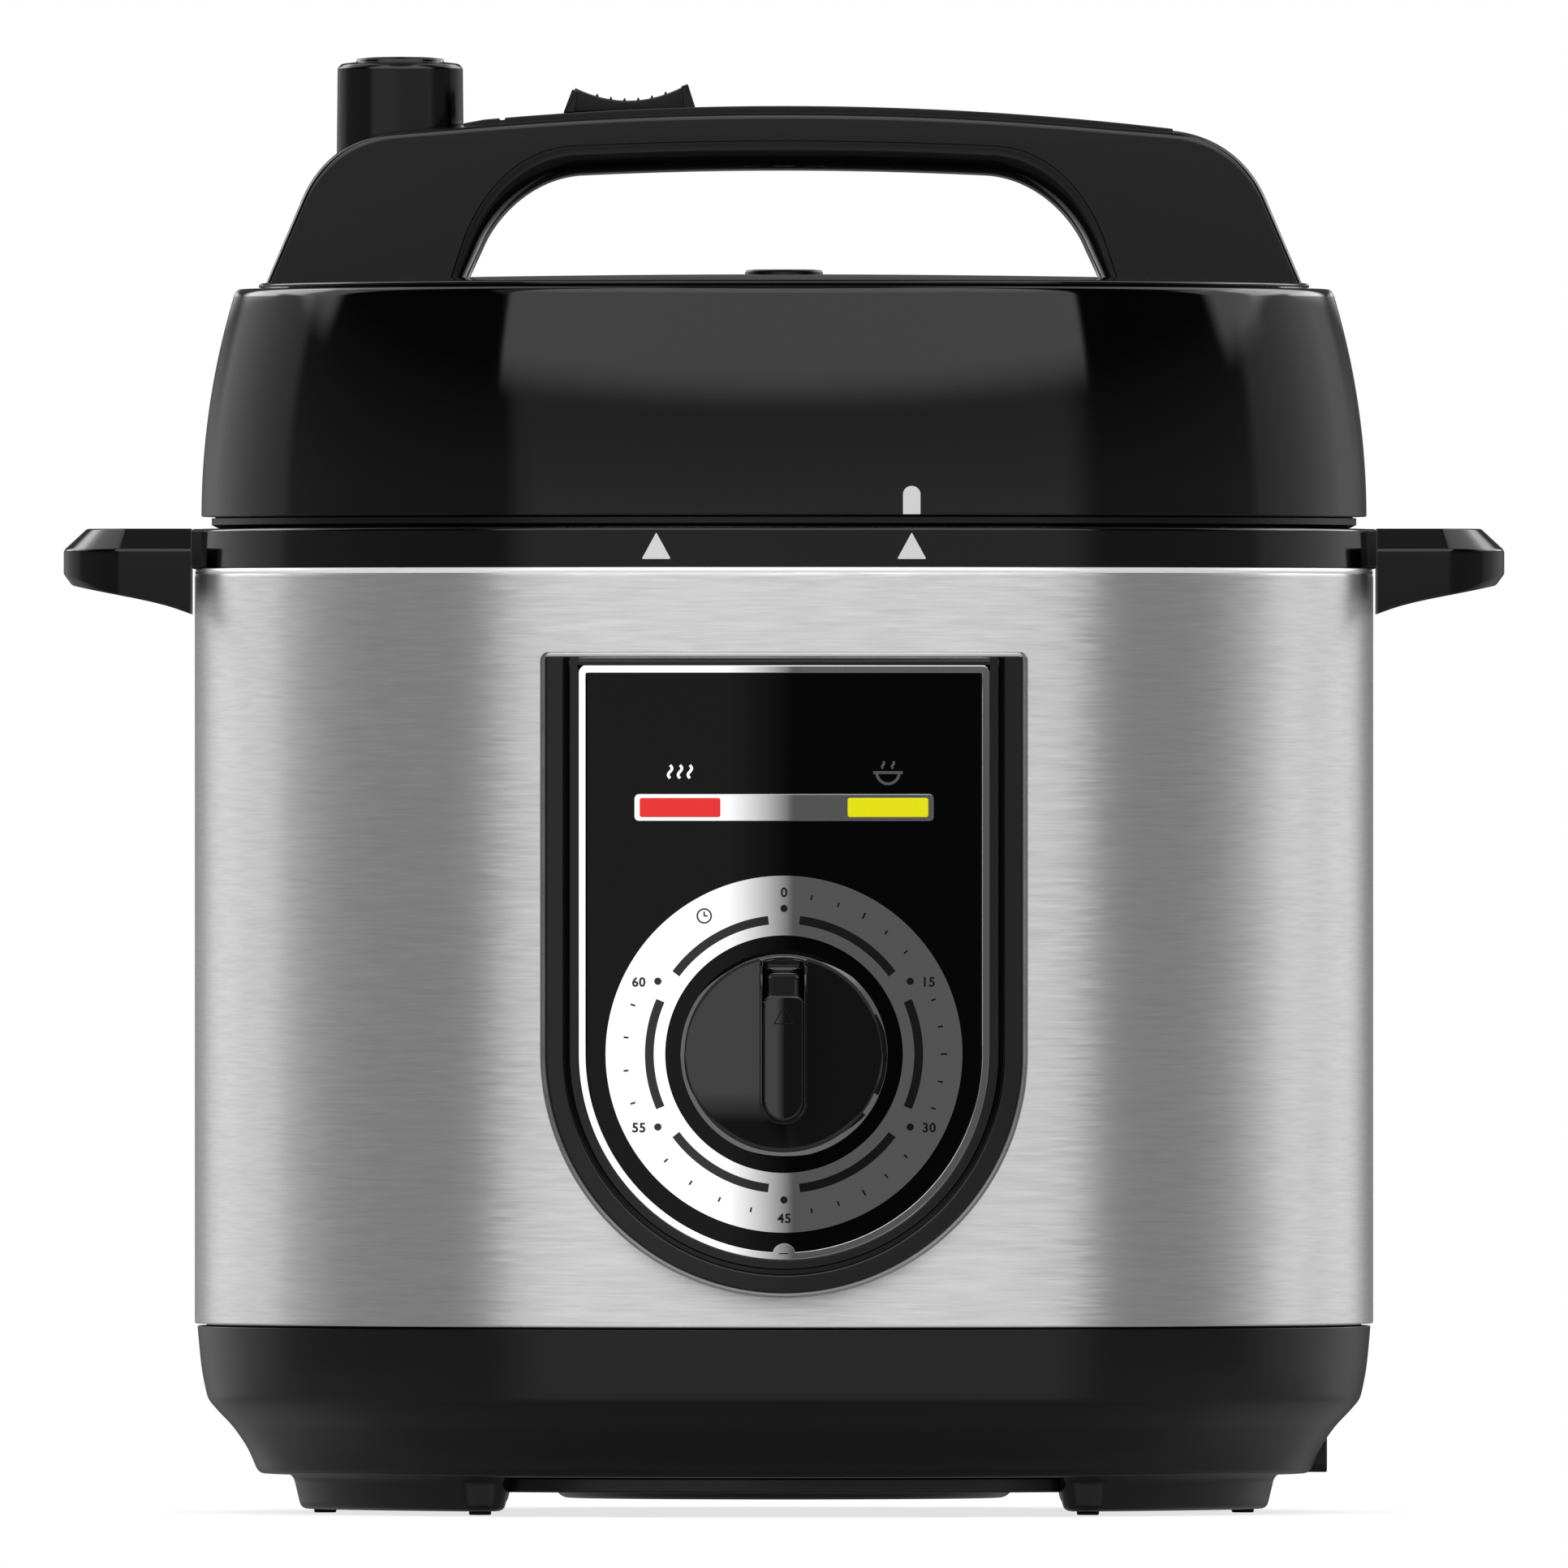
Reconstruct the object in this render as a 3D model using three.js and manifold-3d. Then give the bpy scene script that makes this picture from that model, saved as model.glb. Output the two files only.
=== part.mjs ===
// Electric pressure cooker with a clockwork timer dial, as an assembly of separate pieces.
// Millimetres, +Z up. The origin is on the table under the middle of the cooker, and the dial faces -Y.
import * as THREE from "three";
import { mergeVertices } from "three/addons/utils/BufferGeometryUtils.js";
import Module from "manifold-3d";

const wasm = await Module();
wasm.setup();

// ---- Driving dimensions ------------------------------------------------------------------------
const GAP = 0.3; // running gap between neighbouring pieces
const ROUND = 32; // facets round the big outside pieces
const ROUND_INSIDE = 24; // facets round the pots, the gasket and the pressed lid
const ROUND_SMALL = 12; // facets round pins, pipes and screws

const bodyRadius = 132.5; // outside of the steel shell
const shellBottom = 41.6;
const shellTop = 211.5;
const sheet = 1.0; // wall of the steel shell
const ringTop = 220.9; // top of the black rim that carries the side handles
const padHeight = 0.8; // how far the rubber pads stand below the feet
const coverFace = 5.1; // underside of the bottom cover
const baseBottom = 8.6; // underside of the base moulding

const footCircle = 106; // the feet follow this circle
const footHalfWidth = 7.4;
const padReach = [103, 68]; // distance of each foot's two rubber pads from the middle, along X
const padRadius = 2.6;

const potWallRadius = 109; // outside of the removable pot
const potFloor = 59; // underside of the removable pot
const potRim = 217.3;
const housingWall = 1.3; // wall of the pressure housing round the pot
const housingRadius = 110.3; // its inside
const channelRadius = 118.1; // outside of the raised channel that the lid locks into
const channelTop = 230.5;
const lugCount = 8; // bayonet lugs on the channel, and as many on the lid
const lugAngle = (19 * Math.PI) / 180;
const lugPitch = (2 * Math.PI) / lugCount;
const lugThickness = 2.3;
const lidLugRadius = 115.2;

const lidRadius = 131; // outside of the lid at its lower edge
const lidBottom = 223.6;
const lidShoulder = 274.8;
const lidBulge = 173; // radius of the arc down the side of the lid
const lidWall = 2.4;
const capRadius = 118.1; // round cover on top of the lid
const plateTop = 238.8; // top of the pressed metal lid

const handleHalfDepth = 21; // the handle is a flat-faced arch this far each side of the middle
const handleWall = 2;
const valveX = -86.3; // steam valve, in the left shoulder of the handle
const valveRadius = 14.3;
const skirtBottom = 303.1; // lower edge of the valve's skirt, which the vent slider's ramps lift
const rampSlope = 0.5; // valve lift for each unit of slider travel
const floatY = 34; // float pin, behind the handle

const dialHeight = 103.3; // axis of the timer knob
const panelTop = 190.0; // top of the control panel's trim
const bezelTop = 191.8;
const bezelHalfWidth = 53.6;
const panelHalfWidth = 45.9;
const panelFace = 135; // radius of the bowed panel's face about the cooker's axis
const knobRadius = 23.4;
const knobFace = 148; // distance of the knob's face in front of the cooker's axis
const lampHeight = 158.3;
const lampX = 23.5;

// ---- Materials ---------------------------------------------------------------------------------
const finish = (color, roughness, metalness = 0, extra = {}) =>
  new THREE.MeshStandardMaterial({ color, roughness, metalness, ...extra });
const glossBlack = finish(0x141414, 0.18);
const satinBlack = finish(0x1c1c1c, 0.42);
const baseBlack = finish(0x191919, 0.5);
const brushedSteel = finish(0xc4c4c4, 0.32, 1);
const pressedSteel = finish(0xcfcfcf, 0.2, 1);
const castAluminium = finish(0xaaaaa8, 0.55, 1);
const silverFoil = finish(0xd8d8d8, 0.15, 1);
const redLens = finish(0xe03030, 0.25);
const yellowLens = finish(0xe4dc10, 0.25);
const footRubber = finish(0x101010, 0.85);
const silicone = finish(0xe6e4dc, 0.5, 0, { transparent: true, opacity: 0.9 });
const smokedPlastic = finish(0x202224, 0.2, 0, { transparent: true, opacity: 0.8 });
const brass = finish(0xb9975b, 0.3, 1);
const zincSteel = finish(0xb0b0b0, 0.35, 1);
const timerPlastic = finish(0xe8e4d4, 0.5);
const boardGreen = finish(0x2c5a38, 0.6);

// ---- Solids from outlines ----------------------------------------------------------------------
const vectors = (points) => points.map(([x, y]) => new THREE.Vector2(x, y));
const mirrored = (points) => points.map(([x, y]) => [-x, y]).reverse();

/** Points on an arc about (cx, cy), from one angle to another, both in radians. */
function arc(cx, cy, radius, from, to, steps) {
  return Array.from({ length: steps + 1 }, (_, i) => {
    const a = from + ((to - from) * i) / steps;
    return [cx + radius * Math.cos(a), cy + radius * Math.sin(a)];
  });
}

/** A whole circle as an outline. */
const disc = (x, y, radius, steps) => arc(x, y, radius, 0, 2 * Math.PI, steps).slice(0, -1);

/** Merges shared corners, drops collapsed triangles and turns every face outwards. */
function closed(geometry) {
  geometry.deleteAttribute("normal");
  geometry.deleteAttribute("uv");
  const merged = mergeVertices(geometry, 1e-4);
  const p = merged.getAttribute("position");
  const at = (i) => new THREE.Vector3().fromBufferAttribute(p, i);
  const faces = [];
  let volume = 0;
  for (let i = 0; i < merged.index.count; i += 3) {
    const [a, b, c] = [0, 1, 2].map((k) => merged.index.getX(i + k));
    if (a === b || b === c || c === a) continue;
    volume += at(a).dot(at(b).cross(at(c)));
    faces.push([a, b, c]);
  }
  if (volume < 0) faces.forEach((f) => f.reverse());
  merged.setIndex(faces.flat());
  return merged;
}

/** A body turned about Z from an (r, z) outline. An outline that stays off the axis becomes a ring. */
function turned(outline, segments = ROUND_SMALL) {
  const points = vectors(outline);
  if (outline[0][0] > 0) points.push(points[0].clone());
  return closed(new THREE.LatheGeometry(points, segments).rotateX(Math.PI / 2));
}

function extruded(outline, depth, holes) {
  const shape = new THREE.Shape(vectors(outline));
  shape.holes = holes.map((hole) => new THREE.Path(vectors(hole)));
  return new THREE.ExtrudeGeometry(shape, { depth, bevelEnabled: false });
}

/** An (x, y) outline as a plate between two heights. */
function plate(outline, bottom, top, holes = []) {
  return closed(extruded(outline, top - bottom, holes).translate(0, 0, bottom));
}

/** An outline drawn as seen from the front, in (x, z), as a slab between two depths. */
function slab(outline, front, back, holes = []) {
  const made = extruded(outline, back - front, holes).rotateX(Math.PI / 2);
  return closed(made.translate(0, back, 0));
}

/** An outline drawn as seen from the right, in (y, z), between two places along X. */
function sideways(outline, left, right) {
  const turn = new THREE.Matrix4().makeBasis(
    new THREE.Vector3(0, 1, 0),
    new THREE.Vector3(0, 0, 1),
    new THREE.Vector3(1, 0, 0),
  );
  return closed(extruded(outline, right - left, []).applyMatrix4(turn).translate(left, 0, 0));
}

function block(x0, x1, y0, y1, z0, z1) {
  const box = new THREE.BoxGeometry(x1 - x0, y1 - y0, z1 - z0);
  return closed(box.translate((x0 + x1) / 2, (y0 + y1) / 2, (z0 + z1) / 2));
}

/** A round bar standing on (x, y) between two heights. */
function post(x, y, radius, bottom, top, segments = 12) {
  const bar = turned([[0, bottom], [radius, bottom], [radius, top], [0, top]], segments);
  return bar.translate(x, y, 0);
}

/** A skin through outlines of equal length, with place(point, k) giving each outline its spot. */
function loft(outlines, place) {
  const n = outlines[0].length;
  const last = outlines.length - 1;
  const positions = outlines.flatMap((outline, k) => outline.flatMap((point) => place(point, k)));
  const faces = [];
  for (let k = 0; k < last; k += 1)
    for (let i = 0; i < n; i += 1) {
      const [a, b] = [k * n + i, k * n + ((i + 1) % n)];
      faces.push(a, b, b + n, a, b + n, a + n);
    }
  for (const k of [0, last])
    for (const face of THREE.ShapeUtils.triangulateShape(vectors(outlines[k]), []))
      faces.push(...(k ? face : face.reverse()).map((i) => k * n + i));
  const skin = new THREE.BufferGeometry();
  skin.setAttribute("position", new THREE.Float32BufferAttribute(positions, 3));
  skin.setIndex(faces);
  return closed(skin);
}

// ---- Joining and cutting -----------------------------------------------------------------------
function solid(geometry) {
  const vertProperties = new Float32Array(geometry.getAttribute("position").array);
  const triVerts = new Uint32Array(geometry.index.array);
  return new wasm.Manifold(new wasm.Mesh({ numProp: 3, vertProperties, triVerts }));
}

function geometryOf(manifold) {
  const mesh = manifold.getMesh();
  const geometry = new THREE.BufferGeometry();
  geometry.setAttribute("position", new THREE.BufferAttribute(mesh.vertProperties, 3));
  geometry.setIndex(new THREE.BufferAttribute(mesh.triVerts, 1));
  return geometry;
}

const join = (...pieces) => geometryOf(pieces.map(solid).reduce((a, b) => a.add(b)));
const cut = (piece, ...tools) =>
  geometryOf(tools.map(solid).reduce((a, b) => a.subtract(b), solid(piece)));
const common = (a, b) => geometryOf(solid(a).intersect(solid(b)));
const repeat = (count, make) => Array.from({ length: count }, (_, i) => make(i));

const cooker = new THREE.Group();

function add(name, geometry, material) {
  geometry.computeVertexNormals();
  const mesh = new THREE.Mesh(geometry, material);
  mesh.name = name;
  cooker.add(mesh);
}

// ---- Base, bottom cover and feet ---------------------------------------------------------------
// The base is one hollow moulding: a tapered wall, a concave waist and an inward flange below.
const inletBox = [96, 122.2, 10, 54, baseBottom, 34]; // power inlet housing, low on the right

function baseHousing() {
  const waist = [[129.5, 25.2], [124.8, 20.6], [121, 15], [118.6, 9.4]];
  const wall = turned(
    [
      [131.9, shellBottom - 0.4],
      ...waist,
      [117, baseBottom],
      [99.5, baseBottom],
      [99.5, 11],
      [115.9, 11],
      [119, 17.2],
      [126.8, 26.6],
      [127.4, 47],
      [129.8, 47],
      [129.8, shellBottom - 0.4],
    ],
    ROUND,
  );
  const [x0, , y0, y1, z0, z1] = inletBox;
  const inletWindow = block(x0 - 2, 140, y0 - GAP, y1 + GAP, z0 - 2, z1 + GAP);
  return cut(wall, inletWindow);
}

/** Outline of a foot or of the groove in it: a bar with round ends, bent along the foot circle. */
function footOutline(halfWidth, quadrant) {
  const [a0, a1] = padReach.map((x) => Math.acos(x / footCircle));
  const [from, to] = quadrant % 2 ? [Math.PI - a1, Math.PI - a0] : [a0, a1];
  const turn = quadrant < 2 ? 0 : Math.PI; // quadrants 0 and 1 are behind, 2 and 3 in front
  const end = (a, first) =>
    arc(footCircle * Math.cos(a), footCircle * Math.sin(a), halfWidth, first, first + Math.PI, 3);
  const [s, e] = [from + turn, to + turn];
  return [
    ...arc(0, 0, footCircle + halfWidth, s, e, 3).slice(1, -1),
    ...end(e, e),
    ...arc(0, 0, footCircle - halfWidth, e, s, 3).slice(1, -1),
    ...end(s, s + Math.PI),
  ];
}

const padPlaces = (quadrant) =>
  padReach.map((x) => [
    x * (quadrant === 0 || quadrant === 3 ? 1 : -1),
    Math.sqrt(footCircle ** 2 - x ** 2) * (quadrant < 2 ? 1 : -1),
  ]);

const bottomScrewPlaces = repeat(3, (i) => {
  const a = Math.PI / 2 + (i * 2 * Math.PI) / 3;
  return [94 * Math.cos(a), 94 * Math.sin(a)];
});

function bottomCover() {
  const disc = turned(
    [[0, 3.1], [49.6, 3.1], [51.8, coverFace], [103.8, coverFace], [103.8, 8.3], [51, 8.3], [49, 6], [0, 6]],
    ROUND_INSIDE,
  );
  const feet = repeat(4, (q) =>
    loft(
      [footHalfWidth - 0.9, footHalfWidth].map((w) => footOutline(w, q)),
      ([x, y], k) => [x, y, [padHeight, 8.3][k]],
    ),
  );
  const grooves = repeat(4, (q) => plate(footOutline(padRadius + GAP, q), 0, 3.9));
  const vents = repeat(6, (i) => block(58, 88, -2, 2, 4, 9).rotateZ(((i + 0.5) * Math.PI) / 3));
  const screwHoles = bottomScrewPlaces.map(([x, y]) => post(x, y, 2.2, 4, 9, 8));
  return cut(join(disc, ...feet), ...grooves, ...vents, ...screwHoles);
}

function footPad(quadrant) {
  const strip = plate(footOutline(padRadius, quadrant), 1.2, 3.6);
  return join(strip, ...padPlaces(quadrant).map(([x, y]) => post(x, y, padRadius - 0.2, 0, 2, 10)));
}

/** A cross-less pan-head screw that points up, with its head under the given height. */
function screwUp([x, y], headRadius, seat, length) {
  const outline = [
    [0, seat - 1.6],
    [headRadius * 0.8, seat - 1.4],
    [headRadius, seat],
    [1.7, seat],
    [1.7, seat + length],
    [0, seat + length],
  ];
  return turned(outline, 8).translate(x, y, 0);
}

add("base_housing", baseHousing(), baseBlack);
add("bottom_cover", bottomCover(), baseBlack);
["back_right", "back_left", "front_left", "front_right"].forEach((place, q) =>
  add("foot_pad_" + place, footPad(q), footRubber),
);
bottomScrewPlaces.forEach((place, i) =>
  add("bottom_screw_" + (i + 1), screwUp(place, 3.6, coverFace - GAP, 3.4), zincSteel),
);

// ---- Power inlet -------------------------------------------------------------------------------
// A block let into the base wall, with a six-sided plug socket and three flat pins.
function powerInlet() {
  const [x0, x1, y0, y1, z0, z1] = inletBox;
  const round = 2;
  const housing = sideways(
    [
      [y0 + round, z0 + 0.1],
      [y1 - round, z0 + 0.1],
      [y1, z0 + round],
      [y1, z1 - round],
      [y1 - round, z1],
      [y0 + round, z1],
      [y0, z1 - round],
      [y0, z0 + round],
    ],
    x0,
    x1,
  );
  const [cy, cz] = [(y0 + y1) / 2, (z0 + z1) / 2];
  const socket = sideways(
    [[cy - 13, cz - 8.5], [cy + 13, cz - 8.5], [cy + 13, cz + 4], [cy + 8.5, cz + 8.5], [cy - 8.5, cz + 8.5], [cy - 13, cz + 4]],
    x1 - 17,
    x1 + 1,
  );
  return cut(housing, socket);
}

function inletPin(dy, dz, vertical) {
  const [, x1, y0, y1, z0, z1] = inletBox;
  const [cy, cz] = [(y0 + y1) / 2 + dy, (z0 + z1) / 2 + dz];
  const [w, h] = vertical ? [1, 2] : [2, 1];
  return block(x1 - 17 + GAP, x1 - 3, cy - w, cy + w, cz - h, cz + h);
}

add("power_inlet", powerInlet(), satinBlack);
add("inlet_pin_line", inletPin(-7, -4, true), brass);
add("inlet_pin_neutral", inletPin(7, -4, true), brass);
add("inlet_pin_earth", inletPin(0, 0.6, true), brass);

// ---- Front panel outline -----------------------------------------------------------------------
/** A shield seen from the front: straight sides, round below about the knob, square above. */
function shield(halfWidth, top, corner = 1.6) {
  return [
    ...arc(0, dialHeight, halfWidth, Math.PI, 2 * Math.PI, 14),
    ...arc(halfWidth - corner, top - corner, corner, 0, Math.PI / 2, 2),
    ...arc(corner - halfWidth, top - corner, corner, Math.PI / 2, Math.PI, 2),
  ];
}

/** The front outline as a sheet bowed about the cooker's axis, between two radii. */
function bowed(outline, inner, outer, holes = []) {
  const [from, to] = [-0.43, 0.43].map((a) => a - Math.PI / 2);
  const sector = [...arc(0, 0, outer, from, to, 8), ...arc(0, 0, inner, to, from, 8)];
  const bow = common(plate(sector, 40, 200), slab(outline, -150, -110));
  return cut(bow, ...holes.map((hole) => slab(hole, -151, -109)));
}


function pill(cx, cz, halfWidth, halfHeight, corner = 0.8) {
  const x = halfWidth - corner;
  const z = halfHeight - corner;
  return [
    ...arc(cx + x, cz + z, corner, 0, Math.PI / 2, 2),
    ...arc(cx - x, cz + z, corner, Math.PI / 2, Math.PI, 2),
    ...arc(cx - x, cz - z, corner, Math.PI, 1.5 * Math.PI, 2),
    ...arc(cx + x, cz - z, corner, 1.5 * Math.PI, 2 * Math.PI, 2),
  ];
}

// ---- Steel shell and the rim on top of it ------------------------------------------------------
function outerShell() {
  const inside = bodyRadius - sheet;
  const wall = turned(
    [
      [bodyRadius, shellBottom + 0.8],
      [bodyRadius, shellTop - 1.3],
      [bodyRadius - 1.3, shellTop],
      [128.6, shellTop],
      [128.6, shellTop - sheet],
      [inside, shellTop - sheet],
      [inside, shellBottom],
      [bodyRadius - 0.7, shellBottom],
    ],
    ROUND,
  );
  return cut(wall, slab(shield(bezelHalfWidth - 1.2, bezelTop - 0.8), -140, -60));
}

const lugHalfWidth = 27; // flat seats on the rim for the side handles
const handleSeat = 131.9;

function upperRing() {
  const rim = turned(
    [
      [132.1, shellTop + 0.4],
      [132.1, ringTop - 1],
      [131.2, ringTop],
      [channelRadius + 0.8, ringTop],
      [channelRadius + 0.8, shellTop - 0.1],
      [112.6, shellTop - 0.1],
      [112.6, 208.4],
      [122, 208.4],
      [125.6, 216],
      [125.6, 205],
      [127.9, 205],
      [127.9, shellTop + 0.4],
    ],
    ROUND,
  );
  const seat = block(123, handleSeat, -lugHalfWidth, lugHalfWidth, shellTop + 0.4, ringTop);
  const drip = block(-30, 30, 126.5, 141, 213, 217.5);
  const dripHole = post(0, 137, 3, 210, 222);
  return cut(join(rim, seat, seat.clone().rotateZ(Math.PI), drip), dripHole);
}

// ---- Side handles ------------------------------------------------------------------------------
// A D-shaped grip with chamfered upper edges, a hollow underside and an arched gusset to the body.
const gripReach = 161.9;
const gripHalfWidth = 30;
const gripCorner = 12;
const gripChamfer = 4.9;

function gripOutline(inset) {
  const root = handleSeat + 0.5;
  const [reach, half, corner] = [gripReach - inset, gripHalfWidth - inset, gripCorner - inset];
  const corners = arc(reach - corner, half - corner, corner, 0, Math.PI / 2, 5);
  return [[root, -half], ...corners.map(([x, y]) => [x, -y]).reverse(), ...corners, [root, half]];
}

/** Underside of the grip, from its outer end in to the body: a shallow arch. */
function undersideArch(drop) {
  const arch = new THREE.CubicBezierCurve(
    new THREE.Vector2(160.2, 207.6 + drop),
    new THREE.Vector2(149, 205.7 + drop),
    new THREE.Vector2(142, 205.2 + drop),
    new THREE.Vector2(133.4, 201.9 + drop),
  );
  return arch.getPoints(6).map((p) => [p.x, p.y]);
}

function sideHandle() {
  const heights = [200, ringTop - gripChamfer + 0.2, ringTop];
  const outline = [0, 0, gripChamfer].map(gripOutline);
  const body = loft(outline, ([x, y], k) => [x, y, heights[k]]);
  const seen = slab(
    [[gripReach + 1, 222], [gripReach + 1, 209.9], [gripReach, 209.6], ...undersideArch(0), [133.4, shellTop], [130, shellTop], [130, 222]],
    -40,
    40,
  );
  const hollowFloor = ringTop - 4.6;
  const hollow = loft([gripOutline(2.8), gripOutline(4.4)], ([x, y], k) => [
    Math.max(x, 136.6),
    y,
    [198, hollowFloor][k],
  ]);
  return cut(common(body, seen), hollow);
}

add("outer_shell", outerShell(), brushedSteel);
add("upper_ring", upperRing(), glossBlack);
add("side_handle_right", sideHandle(), glossBlack);
add("side_handle_left", sideHandle().rotateZ(Math.PI), glossBlack);

// ---- Pressure housing, with the bayonet channel ------------------------------------------------
/** One bayonet lug: a curved plate centred on an angle, between two radii and two heights. */
function lug(inner, outer, bottom, angle) {
  const [from, to] = [angle - lugAngle / 2, angle + lugAngle / 2];
  const outline = [...arc(0, 0, outer, from, to, 2), ...arc(0, 0, inner, to, from, 2)];
  return plate(outline, bottom, bottom + lugThickness);
}

function outerPot() {
  const outside = housingRadius + housingWall;
  const ledge = 211.7;
  const channelWall = channelRadius - housingWall;
  const pot = turned(
    [
      [93, 50.7],
      [107.6, 50.7],
      [outside, 54.7],
      [outside, ledge],
      [channelRadius, ledge],
      [channelRadius, channelTop],
      [channelWall, channelTop],
      [channelWall, ledge + 1.4],
      [housingRadius, ledge + 1.4],
      [housingRadius, 55],
      [107.4, 52],
      [93, 52],
    ],
    ROUND_INSIDE,
  );
  const lugs = repeat(lugCount, (i) =>
    lug(112.6, channelWall + 0.4, channelTop - lugThickness, i * lugPitch),
  );
  return join(pot, ...lugs);
}

function innerPot() {
  return turned(
    [
      [0, potFloor],
      [94, potFloor],
      [104, 62],
      [potWallRadius, 70],
      [potWallRadius, 213.5],
      [111.9, 213.5],
      [111.9, potRim],
      [potWallRadius - 1.5, potRim],
      [potWallRadius - 1.5, 71],
      [103, 63.8],
      [94, potFloor + 2],
      [0, potFloor + 2],
    ],
    ROUND_INSIDE,
  );
}

add("outer_pot", outerPot(), pressedSteel);
add("inner_pot", innerPot(), pressedSteel);

// ---- Heating plate and temperature sensor ------------------------------------------------------
const plateUnderside = 47;

function heatingPlate() {
  return turned(
    [
      [16.5, plateUnderside],
      [62, plateUnderside],
      [64, 42],
      [74, 42],
      [76, plateUnderside],
      [91, plateUnderside],
      [91, 55.5],
      [84, potFloor - GAP],
      [16.5, potFloor - GAP],
    ],
    ROUND_INSIDE,
  );
}

/** A bent strip that carries the heating plate on the floor of the pressure housing. */
function plateBracket(angle) {
  const strip = slab(
    [[79, 45.1], [95, 45.1], [95, 49], [104, 49], [104, 50.4], [93.3, 50.4], [93.3, 46.7], [79, 46.7]],
    -8,
    8,
  );
  return strip.rotateZ(angle);
}

function sensorHolder() {
  return turned([
    [3.8, 29.5],
    [15, 29.5],
    [15, 45],
    [24, 45],
    [24, plateUnderside - GAP],
    [13.6, plateUnderside - GAP],
    [13.6, 31],
    [3.8, 31],
  ]);
}

function sensorPlunger() {
  return turned([
    [0, 27],
    [3, 27],
    [3, 44.5],
    [12.6, 44.5],
    [12.6, 57],
    [11.2, potFloor - 0.4],
    [0, potFloor - 0.4],
  ]);
}

class Helix extends THREE.Curve {
  constructor(radius, bottom, top, turns) {
    super();
    Object.assign(this, { radius, bottom, top, turns });
  }

  getPoint(t, target = new THREE.Vector3()) {
    const a = 2 * Math.PI * this.turns * t;
    const z = this.bottom + (this.top - this.bottom) * t;
    return target.set(this.radius * Math.cos(a), this.radius * Math.sin(a), z);
  }
}

function coilSpring() {
  const wire = new THREE.Shape(vectors(disc(0, 0, 0.7, 4)));
  const path = new Helix(7, 32.2, 43.4, 3.5);
  return closed(new THREE.ExtrudeGeometry(wire, { steps: 35, extrudePath: path }));
}

/** Cut-out switch that feels the housing's floor flex under pressure. */
function pressureSwitch() {
  const bodyBox = block(92, 104, -11, 11, 34, 46);
  const button = post(98, 4, 2.5, 45, 50.4);
  const tabs = block(94, 102, -8, -6, 26, 35);
  return join(bodyBox, button, tabs, tabs.clone().translate(0, 14, 0)).rotateZ(-2.2);
}

add("heating_plate", heatingPlate(), castAluminium);
repeat(3, (i) => add("plate_bracket_" + (i + 1), plateBracket(0.5 + (i * 2 * Math.PI) / 3), zincSteel));
add("sensor_holder", sensorHolder(), zincSteel);
add("sensor_plunger", sensorPlunger(), castAluminium);
add("sensor_spring", coilSpring(), zincSteel);
add("pressure_switch", pressureSwitch(), timerPlastic);

// ---- Control panel -----------------------------------------------------------------------------
const shaftHole = disc(0, dialHeight, 4.6, 12);
const lensWindow = (x) => pill(x, lampHeight, 9.1, 2.2, 0.5);

/** Black surround: a sunk frame with a raised rib down both sides and round the bottom. */
function controlBezel() {
  const inner = shield(panelHalfWidth + GAP, panelTop + GAP);
  const frame = bowed(shield(bezelHalfWidth, bezelTop), bodyRadius + 0.5, panelFace + 0.4, [inner]);
  const rib = bowed(shield(bezelHalfWidth - 0.6, bezelTop - 0.6), panelFace - 1, 137.2, [
    shield(48.1, bezelTop + 1),
  ]);
  return join(frame, rib);
}

function controlPanel() {
  const face = bowed(shield(panelHalfWidth, panelTop), 131.6, panelFace, [
    shaftHole,
    lensWindow(-lampX),
    lensWindow(lampX),
  ]);
  const lampPosts = [-8, 8].map((x) => slab(disc(x, lampHeight, 2.4, 10), -132.5, -124.4));
  const timerPosts = [-19, 19].map((x) => slab(disc(x, dialHeight + 19, 2.4, 10), -131.5, -129));
  return join(face, ...lampPosts, ...timerPosts);
}

const trimWidth = 1.65;
const foil = [panelFace + GAP, panelFace + 0.7]; // radii of the silver trims laid on the panel

add("control_bezel", controlBezel(), satinBlack);
add("control_panel", controlPanel(), glossBlack);
add(
  "panel_trim",
  bowed(shield(panelHalfWidth, panelTop), ...foil, [
    shield(panelHalfWidth - trimWidth, panelTop - trimWidth, 0.8),
  ]),
  silverFoil,
);
add("dial_ring", bowed(disc(0, dialHeight, 39.8, 28), ...foil, [disc(0, dialHeight, 26.5, 24)]), silverFoil);
add(
  "indicator_frame",
  bowed(pill(0, lampHeight, 33.4, 3), ...foil, [lensWindow(-lampX), lensWindow(lampX)]),
  silverFoil,
);
const lens = (x) => bowed(pill(x, lampHeight, 8.8, 1.9, 0.4), 132, panelFace + 0.9);
add("heat_lens", lens(-lampX), redLens);
add("warm_lens", lens(lampX), yellowLens);

/** Circuit strip behind the panel with one lamp behind each lens. */
function lampBoard() {
  const strip = block(-30, 30, -124, -122.4, lampHeight - 5, lampHeight + 5);
  const lamps = [-lampX, lampX].map((x) => slab(disc(x, lampHeight, 2.2, 10), -128.5, -123.5));
  return join(strip, ...lamps);
}

/** Clockwork timer: a flat box with a raised gear cover and a switch block below. */
function timerUnit() {
  const box = block(-24, 24, -128.4, -115, dialHeight - 22, dialHeight + 22);
  const collar = slab(disc(0, dialHeight, 8, 16), -130.4, -128);
  const terminals = block(-14, 14, -126, -117, dialHeight - 29, dialHeight - 21);
  const bore = slab(disc(0, dialHeight, 3.4, 12), -131, -122);
  return cut(join(box, collar, terminals), bore);
}

add("lamp_board", lampBoard(), boardGreen);
add("timer_unit", timerUnit(), timerPlastic);

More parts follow.
